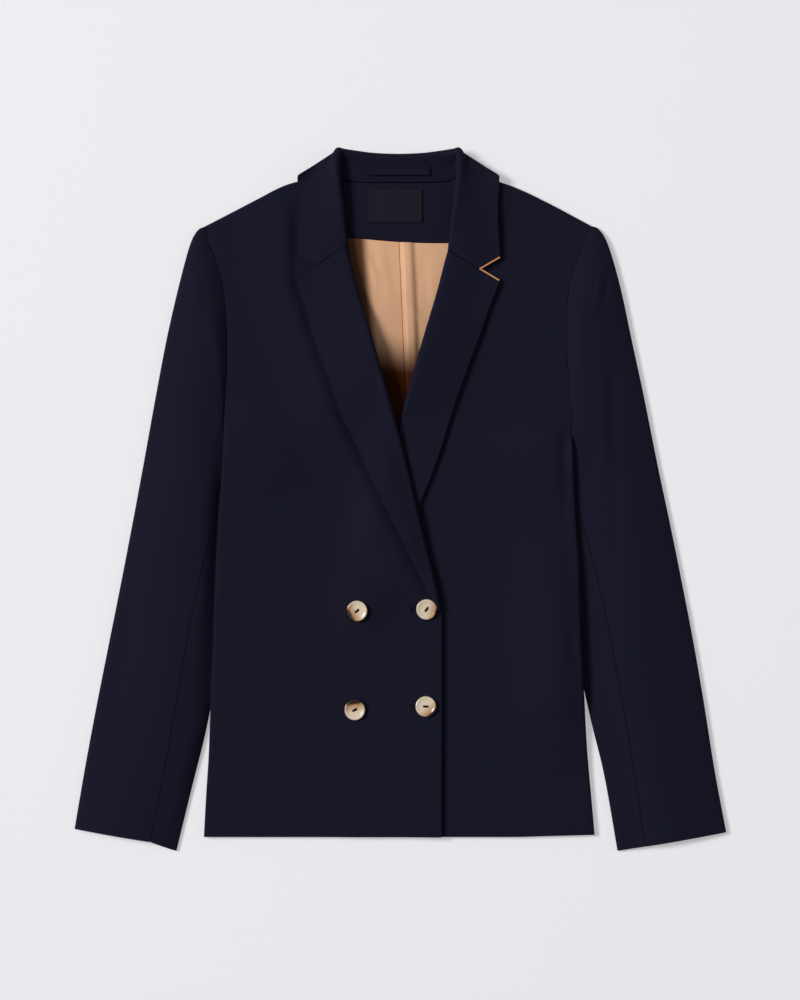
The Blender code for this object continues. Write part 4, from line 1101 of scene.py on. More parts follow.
# ---- the panels -------------------------------------------------------------
@dataclass
class Panel:
    """What a front and the back share: edges that turn into the side and shoulder seam."""

    pattern: Pattern
    wall: float = 1.6
    radius: float = (FRONT_RISE - BACK_WALL / 2) / 2  # of the fold at the edge
    flat_inset: float = 0.4  # of an edge that stays flat
    side_spread: float = 2.4  # how far the points of such an edge reach in
    top_spread: float = 2.0
    next_column: float = 22.0  # from the side edge to the end of its straight part
    per_quarter: int = 6  # points on each quarter of the fold
    in_between: int = 7

    def turned(self, angle: float, sewn: Array, spread: float) -> tuple[Array, Array]:
        """A point round the fold at an edge.

        Args:
            angle: From the flat of the panel (90 degrees) to the seam (0), in radians.
            sewn: 1 where the edge turns into a seam, 0 where it stays flat.
            spread: How far the points reach in where the edge stays flat.

        Returns:
            How far the point is in from the edge, and how far it leaves the plane.
        """
        back = 1 - math.sin(angle)
        inset = sewn * (self.wall / 2 + self.radius * back)
        inset += (1 - sewn) * (self.flat_inset + spread * back)
        leave = self.radius * (1 - math.cos(angle)) - EDGE_SEAM / 2 * math.sin(angle)
        return inset, leave * sewn

    def angles(self) -> Array:
        """Places round the fold, from the seam (0) to the flat of the panel (90)."""
        return np.radians(np.linspace(0, 90, self.per_quarter + 1))

    def turned_edge(self, corner: Array, inward: Array, side: Side) -> Array:
        """Points round a panel's side edge.

        Args:
            corner: Plan of the edge.
            inward: Plan of the first point of the panel's flat part.
            side: Which edge it is.

        Returns:
            Rows of x, y and how far the point leaves the panel's plane.
        """
        x, y = corner
        reach = abs(inward[0] - x)
        slope = (inward[1] - y) / reach
        sewn = float(ramp(y, UNDERARM_Y, UNDERARM_Y - 16.0))  # the armhole edge stays flat
        points = [self.turned(angle, sewn, self.side_spread) for angle in self.angles()[:0:-1]]
        flat = np.linspace(self.wall / 2 + self.radius + 2.0, self.next_column, 5)
        flat = np.concatenate([flat, np.linspace(self.next_column, reach, self.in_between)[1:-1]])
        points += [(inset, 0.0) for inset in flat]
        return np.array([(x - side * inset, y + slope * inset, leave) for inset, leave in points])

    def turned_top(self, grid: Array, sewn: Array) -> Array:
        """The grid with its last row turned round the shoulder line where sewn is 1."""
        last, before = grid[-1], grid[-2]
        inward = before[:, :2] - last[:, :2]
        inward /= np.linalg.norm(inward, axis=1, keepdims=True)
        rows = []
        for angle in self.angles():
            inset, leave = self.turned(angle, sewn, self.top_spread)
            row = last.copy()
            row[:, :2] += inward * inset[:, None]
            row[:, 2] = np.maximum(row[:, 2], leave)
            rows.append(row)
        return np.concatenate([grid[:-1], np.array(rows)])


@dataclass
class Back(Panel):
    """The back, in one piece."""

    wall: float = BACK_WALL
    neck_half: float = 63.5  # half the width between the neck points
    per_share: int = 4  # columns between two named places of the top edge

    def top_edge(self) -> tuple[Array, Array]:
        """The right shoulder, the neck and the left shoulder; and where it is sewn on."""
        places = np.linspace(0, 16, 16 * self.per_share + 1)
        shares = np.array([-1, -0.9, -0.8, -0.5, 0, 0.5, 0.8, 0.9, 1])
        reach = np.interp(places, np.arange(4, 13), shares) * self.neck_half
        curve = Collar.TABLE[: Collar.RIDGE + 1, :2]
        neck_y = through(curve[:, 0], curve[:, 1], abs(reach)) - self.pattern.neck_edge_gap / 2
        top = np.stack([COLLAR_CENTRE_X + reach, neck_y], axis=1)
        right, left = places <= 4, places >= 12
        top[right] = self.pattern.shoulder_xy(Side.RIGHT, places[right] / 4)
        top[left] = self.pattern.shoulder_xy(Side.LEFT, (16 - places[left]) / 4)
        return top, np.where(right | left, 1.0, 0.0)

    def make(self, level: Level) -> Array:
        """Make the back, whose side and shoulder edges turn up; returns its grid."""
        top, sewn = self.top_edge()
        share = np.linspace(0, 1, len(top))
        plan = []
        for y in self.pattern.rows()[1]:
            x0, x1 = self.pattern.side_x(Side.RIGHT, y), self.pattern.side_x(Side.LEFT, y)
            plan.append([(x0 + (x1 - x0) * u, y) for u in share])
        far = 2 * self.per_share
        rows = []
        for row in self.pattern.bent(np.array(plan), top):
            flat = np.pad(row[far:-far], ((0, 0), (0, 1)))
            first = self.turned_edge(row[0], row[far], Side.RIGHT)
            last = self.turned_edge(row[-1], row[-1 - far], Side.LEFT)
            rows.append(np.concatenate([first, flat, last[::-1]]))
        edge = np.ones(len(first))
        grid = self.turned_top(np.array(rows), np.concatenate([edge, sewn[far:-far], edge]))
        x, y, leave = np.moveaxis(grid, -1, 0)
        grid = grid_of(x, y, level(x, y) + leave)
        sleeves = ("sleeve_upper_right", "sleeve_upper_left")
        Cloth("back", [grid], self.wall, rests_on=sleeves).make()
        return grid


@dataclass
class Lapel:
    """The turned over part of a front, with the facing that shows on it."""

    pattern: Pattern
    side: Side
    air: float = 4.2  # under the outer edge
    pressed: float = 0.7  # air at the fold of the left lapel, under the right front
    opening: Point = (-15.0, 15.0)  # from the right roll line, over this it opens
    fold_steps: int = 12

    OUT = FRONT_WALL / 2 + 0.3 + FACING_WALL / 2  # facing's middle from the front's
    NOTCH_COLUMN = 12
    FREE = {Side.RIGHT: 55.0, Side.LEFT: 110.0}  # width at which the lapel stands free

    @staticmethod
    def ys() -> Array:
        """Roll line heights of the lapel's rows."""
        return np.linspace(BREAK_Y, GORGE_Y, 66)

    @staticmethod
    def across() -> Array:
        """Places across the lapel, from the fold (0) to the outer edge (1)."""
        notch, inner = Pattern.notch, Lapel.NOTCH_COLUMN + 1
        return np.concatenate([np.linspace(0, notch, inner), np.linspace(notch, 1, 12)[1:]])

    def gap(self, u: Array, x: Array, y: Array, radius: float) -> Array:
        """Air between the lapel and its front: the roll's at the fold, less at the edge."""
        spring = 2 * radius - FRONT_WALL
        free = LAY + (self.air - LAY) * ramp(abs(x[-1] - x[0]), 0, self.FREE[self.side])
        if self.side > 0:  # under the right front the left lapel is pressed flat
            opened = ramp(x - self.pattern.roll_line.x(Side.RIGHT, y), *self.opening)
            free = LAY + (free - LAY) * opened
            spring = self.pressed + (spring - self.pressed) * opened
        return spring + (free - spring) * ramp(u, 0, 0.6)

    def grid(self, level: Level, out: float = 0.0, past: float = 0.0) -> Array:
        """Points of the fold and the lapel.

        Args:
            level: Height of the front's middle at x, y.
            out: How far the facing's middle lies out from the front's.
            past: How far the facing reaches past the front's outer edge.

        Returns:
            A grid, rows up the roll line and columns from the fold outwards.
        """
        u = self.across()
        rows = []
        for y in self.ys():
            line = self.pattern.lapel_line(self.side, y)
            cx, cy = line[0]
            roll_y = self.pattern.roll_y(self.side, y)
            nx, ny = self.pattern.roll_normal(self.side, roll_y)
            radius = self.pattern.roll_radius(roll_y)
            first = 0.0
            if out:
                first = math.acos((radius + (FRONT_WALL - FACING_WALL) / 2) / (radius + out))
            turn = np.linspace(first, math.pi, self.fold_steps + 1)[:-1]
            reach = (radius + out) * np.sin(turn)
            lift = float(level(cx, cy)) + radius - (radius + out) * np.cos(turn)
            fold = grid_of(cx + nx * reach, cy + ny * reach, lift)
            end = line[-1] - line[-2]
            line[-1] += past * end / np.linalg.norm(end)
            x, py = line.T
            z = level(x, py) + FRONT_WALL + self.gap(u, x, py, radius) + out
            rows.append(np.concatenate([fold, grid_of(x, py, z)]))
        return np.array(rows)


@dataclass
class Front(Panel):
    """A front, in one piece with its lapel, and the facing on the lapel."""

    side: Side = Side.RIGHT
    wall: float = FRONT_WALL
    columns: int = 40
    crowding: float = 1.25  # power that crowds the columns towards the lapel
    swell: Level = lambda x, y: 0.0 * x  # how far the front stands up, which its edge undoes

    def plan(self) -> tuple[Array, Array]:
        """Side corners and flat points of the rows, from the hem to the shoulder."""
        across = np.concatenate([[0.0], np.linspace(0.2, 1, self.columns)])
        across = 1 - (1 - across) ** self.crowding
        edge = self.pattern.front_edge if self.side < 0 else self.pattern.underlap_edge
        rows = []
        for y, y0 in zip(*self.pattern.rows()):
            if y < BREAK_Y:
                x1, y1 = edge, y
            elif y <= GORGE_Y:
                x1, y1 = self.pattern.fold_start(self.side, y)
            else:
                x1, y1 = self.pattern.neck_edge_x(self.side, y), y
            x0 = self.pattern.side_x(self.side, y0)
            rows.append([(x0 + (x1 - x0) * u, y0 + (y1 - y0) * u) for u in across])
        plan = np.array(rows)
        top = self.pattern.shoulder_xy(self.side, across)
        top[-1] = plan[-1, -1]
        bent = self.pattern.bent(plan, top)
        return bent[:, 0], bent[:, 1:]

    def panel(self, level: Level) -> Array:
        """The front's points without its lapel; side and shoulder edges turn down."""
        rows = []
        for corner, flat in zip(*self.plan()):
            edge = self.turned_edge(corner, flat[0], self.side)
            rows.append(np.concatenate([edge, np.pad(flat, ((0, 0), (0, 1)))]))
        grid = self.turned_top(np.array(rows), np.ones(len(rows[0])))
        x, y, leave = np.moveaxis(grid, -1, 0)
        leave = leave * (1 + self.swell(x, y) / (self.radius - EDGE_SEAM / 2))
        return grid_of(x, y, level(x, y) - leave)

    def make(self, level: Level, rests_on: tuple[str, ...]) -> tuple[Array, Array]:
        """Make the front and its facing.

        Args:
            level: Height of the front's middle at x, y.
            rests_on: The nodes that it lies on.

        Returns:
            The grids of the panel and of the facing, which others lie on.
        """
        name, lapel = self.side.name.lower(), Lapel(self.pattern, self.side)
        panel, facing = self.panel(level), lapel.grid(level, out=Lapel.OUT, past=0.3)
        trims = ()
        if self.side > 0:
            lapel_top = facing[-1, lapel.fold_steps + Lapel.NOTCH_COLUMN :]
            trims = (NotchPiping("notch_piping_lapel", 1).strip(lapel_top),)
        for node, grids, wall, below, sewn_on in (
            (f"front_{name}", [panel, lapel.grid(level)], self.wall, rests_on, ()),
            (f"lapel_facing_{name}", [facing], FACING_WALL, (f"front_{name}",), trims),
        ):
            shape = {"flip": self.side > 0, "held": Held.FOLDED}
            Cloth(node, grids, wall, rests_on=below, trims=sewn_on, **shape).make()
        return panel, facing


# ---- inside the neck --------------------------------------------------------
@dataclass
class NeckInside:
    """What shows inside the neck: the facing, the satin lining and a bare woven label."""

    pattern: Pattern
    lining_wall: float = 1.0
    label_wall: float = 1.0
    facing_reach: Point = (-64.0, 68.0)  # from the collar's centre line
    facing_narrowing: float = 0.14  # share by which its top edge is narrower
    lining_bottom: float = 44.0
    narrow_y: float = 82.0  # below it the lining is hidden, and only as wide as the opening
    narrow_xs: Point = (-17.0, 22.0)
    pleat_top: Point = (-1.4, 260.0)  # where the lining's centre seam starts
    pleat_lean: float = 6.1 / 141.0  # of the seam to +X, down the lining
    pleat_width: float = 20.0
    pleat_height: float = 3.3
    pleat_fall: Point = (10.5, 16.5)  # from the seam, over this the pleat sinks
    under: Point = (0.3, 8.0)  # how far the lining goes under a lapel: at the top, and below
    under_ys: Point = (248.0, 234.0)
    seam_depth: float = 1.0
    loose: float = 0.3  # how far the lining lies off what is below it
    reach: float = 8.0  # over this the pieces span what is below them
    label_box: tuple[float, float, float, float] = (-32.0, 22.0, 282.6, 316.0)

    HEM = np.array([(-74, 268.4), (-37, 266.6), (-15, 264.6), (10, 263.0), (70, 262.4)])

    def facing(self, floor: HeightMap) -> Array:
        """Points of the back neck facing."""
        share = np.linspace(0, 1, 16)[:, None]
        reach = np.linspace(*self.facing_reach, 41) * (1 - self.facing_narrowing * share)
        x = COLLAR_CENTRE_X + reach
        neck = Collar.TABLE[: Collar.RIDGE, :2]
        low = through(self.HEM[:, 0], self.HEM[:, 1], x)
        high = through(neck[:, 0], neck[:, 1], abs(reach)) - 1.0
        y = low + (high - low) * share
        return grid_of(x, y, floor.at(x, y) + LAY + FACING_WALL / 2)

    def pleat_x(self, y: float) -> float:
        """x of the lining's centre seam, where its pleat starts."""
        return self.pleat_top[0] + self.pleat_lean * (self.pleat_top[1] - y)

    def lining_x(self, y: float) -> Array:
        """x of the lining's points at y: close together at the pleat."""
        line = self.pattern.roll_line
        under = self.under[0] + (self.under[1] - self.under[0]) * float(ramp(y, *self.under_ys))
        right = float(line.x(Side.RIGHT, y)) - under
        left = float(line.x(Side.LEFT, y)) + under
        if y < self.narrow_y:
            right, left = self.narrow_xs[0] - 0.1 * (y - self.narrow_y), self.narrow_xs[1]
        steps = np.concatenate([(-2.0, -0.5, 0.0, 0.9), np.linspace(2.0, self.pleat_width, 11)])
        pleat = self.pleat_x(y) + steps
        before = np.linspace(right, pleat[0], 22)[:-1]
        after = np.linspace(pleat[-1], max(left, pleat[-1] + 1.0), 16)[1:]
        return np.concatenate([before, pleat, after])

    def lining(self, floor: HeightMap) -> Array:
        """Points of the lining, with its soft centre pleat."""
        rows = []
        for y in np.linspace(GORGE_Y, self.lining_bottom, 64):
            x = self.lining_x(y)
            hem = through(self.HEM[:, 0], self.HEM[:, 1], x)
            ys = hem - EDGE_SEAM + (y - GORGE_Y)
            away = x - self.pleat_x(y)
            pleat = ramp(away, 0, 5.0) * (1 - ramp(away, *self.pleat_fall))
            groove = self.seam_depth * smooth(1 + np.minimum(away / 0.5, -away / 3.0))
            lift = self.pleat_height * pleat + self.seam_depth - groove
            lift += np.maximum(DRAPES["lining"].lift(x, ys) + self.loose, 0.0)
            rows.append(grid_of(x, ys, floor.at(x, ys) + LAY + self.lining_wall / 2 + lift))
        return np.array(rows)

    def label(self, floor: HeightMap) -> Array:
        """Points of the label, creased along its lower seam."""
        x0, x1, y0, y1 = self.label_box
        x, y = np.meshgrid(np.linspace(x0, x1, 28), np.linspace(y0, y1, 18))
        crease = Fold((x0 - 20, y0 + 4.5), (x1 + 20, y0 + 4.0), 2.4, 0.55)
        lift = crease.lift(x, y) + DRAPES["label"].lift(x, y).clip(0)
        return grid_of(x, y, floor.at(x, y) + LAY + self.label_wall / 2 + lift)

    def make(self, back: Array) -> None:
        """Make the three pieces on the back's grid."""
        below = HeightMap()
        below.add(back, BACK_WALL / 2)
        floor = below.draped(self.reach)
        facing, on_back = self.facing(floor), ("back",)
        Cloth("back_neck_facing", [facing], FACING_WALL, rests_on=on_back).make()
        lining, wall = [self.lining(floor)], self.lining_wall
        Cloth("lining_back", lining, wall, SATIN, flip=True, rests_on=on_back).make()
        below.add(facing, FACING_WALL / 2)
        label, on_facing = [self.label(below.draped(self.reach))], ("back_neck_facing",)
        Cloth("neck_label", label, self.label_wall, TAFFETA, rests_on=on_facing).make()


# ---- the collar -------------------------------------------------------------
@dataclass
class Collar:
    """The fall, which turns over, and the stand inside it, with the hanger loop."""

    pattern: Pattern
    wall: float = 1.8
    stand_wall: float = 1.4
    loop_wall: float = 1.2
    tip: Point = (103.4, 248.4)
    bed_half: float = 104.0  # half width of the fall's part that the back lies on
    stand_share: float = 0.69  # the stand ends here, on its way from the neck to the fold
    stand_last: float = 5.2  # row of the table where the stand ends, under the collar
    gorge_keys: Point = (8.5, 12.0)  # rows over which the collar comes to follow the gorge
    neck_keys: Point = (4.6, 6.8)  # rows over which the neck seam goes from back to front
    stand_end: Point = (-1.0, 0.3)  # rows from its last, over which the stand comes to its end
    stand_columns: int = 9
    roll_columns: int = 17
    fall_columns: int = 18
    knee: int = 9  # column of the fall that ends in the notch
    loop_box: tuple[float, float, float, float] = (-32.5, 29.8, 330.6, 339.6)
    loop_droop: float = 1.4  # how far the loop's lower edge hangs free
    droop_width: float = 5.0

    # Half of the collar, from the centre back to the gorge. x is the distance from the
    # collar's own centre line. The tilt turns from the back, where the stand is above
    # and the fall below (0), over the shoulder (90) to the front (180).
    # neck x, y, fold x, y, fold middle z, radius, tilt, edge x, y, z over what is below
    TABLE = np.array(
        [
            (0.0, 324.0, 0.0, 351.4, 7.0, 4.0, 22, 0.0, 302.6, 0.0),
            (15.0, 324.0, 15.0, 351.8, 7.0, 4.0, 22, 17.0, 302.6, 0.0),
            (29.0, 324.0, 30.0, 352.8, 7.2, 4.0, 24, 37.0, 303.4, 0.0),
            (43.0, 324.6, 45.5, 354.6, 8.2, 4.0, 32, 61.0, 307.0, 0.0),
            (54.0, 326.2, 56.0, 355.2, 10.2, 4.0, 50, 82.0, 313.6, 0.0),
            (59.0, 328.6, 60.4, 355.2, 12.4, 3.9, 70, 95.0, 321.4, 0.0),
            (60.8, 332.4, 61.6, 352.8, 14.0, 3.8, 90, 101.8, 329.8, 4.6),
            (61.4, 331.0, 61.4, 347.8, 14.8, 3.7, 114, 102.4, 321.0, 2.4),
            (61.5, 324.0, 60.6, 336.0, 14.8, 3.6, 140, 101.4, 309.6, 3.0),
            (60.6, 310.0, 58.6, 318.0, 14.6, 3.4, 156, 100.8, 296.6, 3.2),
            (59.2, 295.0, 56.4, 300.5, 14.0, 3.2, 166, 100.6, 283.0, 3.4),
            (57.7, 279.0, 54.8, 281.4, 12.8, 2.9, 174, 101.4, 268.0, 3.6),
            (56.0, 263.6, 53.1, 263.6, 11.4, 2.7, 180, 102.6, 251.4, 4.0),
        ]
    )
    RIDGE = 6  # row of the table where the collar crosses the shoulder

    def section(
        self, side: Side, key: float, ground: Level, neck_z: Callable
    ) -> tuple[Array, float, Array]:
        """One cross section of half the collar.

        Args:
            side: Which half.
            key: Row of the table, or a place between two rows.
            ground: Height of the top of the fronts.
            neck_z: Height of the neck seam for a side, key, x and y.

        Returns:
            The dense line from the neck seam up and round the roll, the straight
            distance that it climbs, and the points of the fall.
        """
        keys = np.arange(len(self.TABLE))
        row, before, after = through(keys, self.TABLE, [key, key - 0.2, key + 0.2])
        nx, ny, fx, fy, fz, radius, tilt, ex, ey, ez = row
        drop = (self.pattern.GORGE_DROP[side] + 0.7) * float(ramp(key, *self.gorge_keys))
        ny, fy, nx, fx = ny - drop, fy - drop, nx - 0.2 * drop, fx - 0.2 * drop
        ahead = after[2:4] - before[2:4]
        ahead = np.array((1.0, 0.0)) if key == 0 else ahead / np.linalg.norm(ahead)
        out, rise = np.array((-ahead[1], ahead[0], 0.0)), np.array((0.0, 0.0, 1.0))
        c, s = math.cos(math.radians(tilt)), math.sin(math.radians(tilt))
        up, over = c * out + s * rise, s * out - c * rise
        middle = np.array((fx, fy, fz)) - up * radius + rise * radius * s
        neck = np.array((nx, ny, neck_z(side, key, nx, ny)))
        rests = 0.0
        if key > self.RIDGE:
            rests = float(ground(COLLAR_CENTRE_X + side * ex, ey))
        edge = np.array((ex, ey, rests + self.wall / 2 + 0.1 + ez))
        start, end = middle - over * radius, middle + over * radius
        span = float(np.linalg.norm(start - neck))
        fine = np.linspace(0, 1, 33)
        guides = (neck, neck + (start - neck) * 0.4, start - up * 0.35 * span, start)
        turn = math.pi * fine[1:, None]
        arc = middle + radius * (np.sin(turn) * up - np.cos(turn) * over)
        inside = np.concatenate([bezier(guides, fine), arc])
        flat_way = (end - edge) * (1, 1, 0)
        guides = (end, end - up * 0.28 * np.linalg.norm(flat_way), edge + 0.36 * flat_way, edge)
        fall = bezier(guides, np.linspace(0, 1, self.fall_columns + 1))
        for line in (inside, fall):
            line[:, 0] = COLLAR_CENTRE_X + side * line[:, 0]
        return inside, span, fall

    def kept_clear(self, fall: Array, key: float, ground: Level) -> Array:
        """The fall kept below the back behind the ridge, and above the front before it."""
        half = self.wall / 2
        if key < self.RIDGE:
            beyond = np.maximum(fall[:, 1] - self.pattern.shoulder_y(fall[:, 0]) - 0.8, 0.0)
            fall[:, 2] = np.clip(fall[:, 2], half + 0.1, half + 0.1 + 0.9 * beyond)
        elif key > self.RIDGE:
            fall[:, 2] = np.maximum(fall[:, 2], ground(fall[:, 0], fall[:, 1]) + half + LAY)
        return fall

    def bent_to_notch(self, fall: Array, side: Side, share: float) -> Array:
        """Near the gorge the section follows the gorge seam and the collar's end."""
        seam = self.pattern.lapel_line(side, GORGE_Y)
        corner = seam[Lapel.NOTCH_COLUMN] + (0.0, self.pattern.gorge_gap)
        tip = np.array((COLLAR_CENTRE_X + side * self.tip[0], self.tip[1]))
        near = np.linspace(fall[0, :2], corner, self.knee + 1)
        far = np.linspace(corner, tip, len(fall) - self.knee)[1:]
        fall[:, :2] += (np.concatenate([near, far]) - fall[:, :2]) * share
        return fall

    def grids(self, ground: Level, neck_z: Callable) -> list[Array]:
        """Grids of the stand and of the fall, from the right gorge to the left gorge."""
        keys = np.unique(np.concatenate([np.linspace(0, 12, 97), [self.stand_last]]))
        halves = {}
        for side in Side:
            stands, falls = [], []
            for key in keys:
                inside, span, fall = self.section(side, key, ground, neck_z)
                fall = self.bent_to_notch(fall, side, float(ramp(key, *self.gorge_keys)))
                fall = self.kept_clear(fall, key, ground)
                whole = np.linalg.norm(np.diff(inside, axis=0), axis=1).sum()
                full = 1 - float(ramp(key - self.stand_last, *self.stand_end))
                cut, gap = self.stand_share * span / whole * full, SEAM / 2 / whole
                roll = spaced(inside, cut + gap * full, 1.0, self.roll_columns)
                falls.append(np.concatenate([roll, fall[1:]]))
                if key <= self.stand_last:
                    stands.append(spaced(inside, 0.0, cut - gap, self.stand_columns))
            halves[side] = np.array(stands), np.array(falls)
        right, left = halves[Side.RIGHT], halves[Side.LEFT]
        return [np.concatenate([right[k][::-1], left[k][1:]]) for k in (0, 1)]

    def mark_bed(self, bed: HeightMap) -> None:
        """Mark in a height map the place of the fall under the back."""
        x, y = bed.cells()
        edge = self.TABLE[: self.RIDGE, 7:9]
        reach = abs(x - COLLAR_CENTRE_X)
        low = through(edge[:, 0], edge[:, 1], reach)
        under = (y > low - 12.0) & (reach < self.bed_half) & (y < self.pattern.shoulder_y(x) + 8.0)
        bed.z = np.maximum(bed.z, np.where(under, self.wall + 0.4, 0.0))

    def make(self, base: HeightMap, levels: dict[Side, Level]) -> None:
        """Make the fall with its piping, and the stand with the loop.

        Args:
            base: Height of what the back lies on.
            levels: Heights of the fronts' middles.
        """
        on_back = BACK_WALL + LAY + FACING_WALL / 2

        def ground(x: Array, y: Array) -> Array:
            """Height of the top of the fronts."""
            right, left = levels[Side.RIGHT](x, y), levels[Side.LEFT](x, y)
            return np.where(np.asarray(x) < COLLAR_CENTRE_X, right, left) + FRONT_WALL / 2

        def neck_z(side: Side, key: float, nx: float, ny: float) -> float:
            """Height of the neck seam, from the back to the front."""
            x = COLLAR_CENTRE_X + side * nx
            back = float(base.at(x, ny)) + on_back
            front = float(levels[side](x + side * 2.0, min(ny, NECK_Y - 4.0)))
            return back + (front - back) * float(ramp(key, *self.neck_keys))

        stand, fall = self.grids(ground, neck_z)
        collar_end = fall[-1, self.roll_columns - 1 + self.knee :]
        piping = NotchPiping("notch_piping_collar", -1).strip(collar_end)
        loop = Cloth("hanger_loop", [self.loop(stand)], self.loop_wall, flip=True)
        fronts, shape = ("front_right", "front_left"), {"flip": True, "held": Held.FOLDED}
        for node, grid, wall, below, trim in (
            ("collar_fall", fall, self.wall, fronts, piping),
            ("collar_stand", stand, self.stand_wall, ("back_neck_facing",), loop),
        ):
            Cloth(node, [grid], wall, rests_on=below, trims=(trim,), **shape).make()

    def loop(self, stand: Array) -> Array:
        """Points of the hanger loop, lying on the stand."""
        x0, x1, y0, y1 = self.loop_box
        rows = []
        for x in np.linspace(x0, x1, 34):
            line = through(stand[:, 0, 0], stand.reshape(len(stand), -1), [x])[0].reshape(-1, 3)
            y = np.linspace(y0, y1, 8)
            rise = (self.stand_wall + self.loop_wall) / 2 + LAY
            rise += self.loop_droop * (1 - ramp(y, y0, y0 + self.droop_width))
            rows.append(grid_of(x, y, np.interp(y, line[:, 1], line[:, 2]) + rise))
        return np.array(rows)


# ---- piping and buttons -----------------------------------------------------
@dataclass
class NotchPiping:
    """A contrast strip along one edge of the left notch."""

    node: str
    away: int  # the side of the edge on which it shows, seen from the notch outwards
    width: float = 1.6
    wall: float = 1.2
    ends: Point = (0.04, 0.97)  # shares of the edge's length
    count: int = 16

    def strip(self, edge: Array) -> Cloth:
        """The strip along an edge of the collar or of the lapel facing."""
        line = spaced(edge, *self.ends, self.count)
        along = np.gradient(line, axis=0)
        normal = np.stack([-along[:, 1], along[:, 0], 0 * along[:, 0]], axis=1)
        normal *= self.away / np.linalg.norm(normal, axis=1, keepdims=True)
        inner = line + normal * SEAM
        grid = np.array([inner + normal * self.width * share for share in np.linspace(0, 1, 4)])
        return Cloth(self.node, [grid], self.wall, TAPE, flip=self.away < 0)


@dataclass(frozen=True)
class ButtonPlace:
    """Where a button is: its node, centre, the turn of its holes, and its dark flank."""

    node: str
    x: float
    y: float
    turn: float  # degrees, of the line through the two holes
    dark: float  # degrees, direction of the brown flank from the centre
    cast: float  # how far the brown reaches in


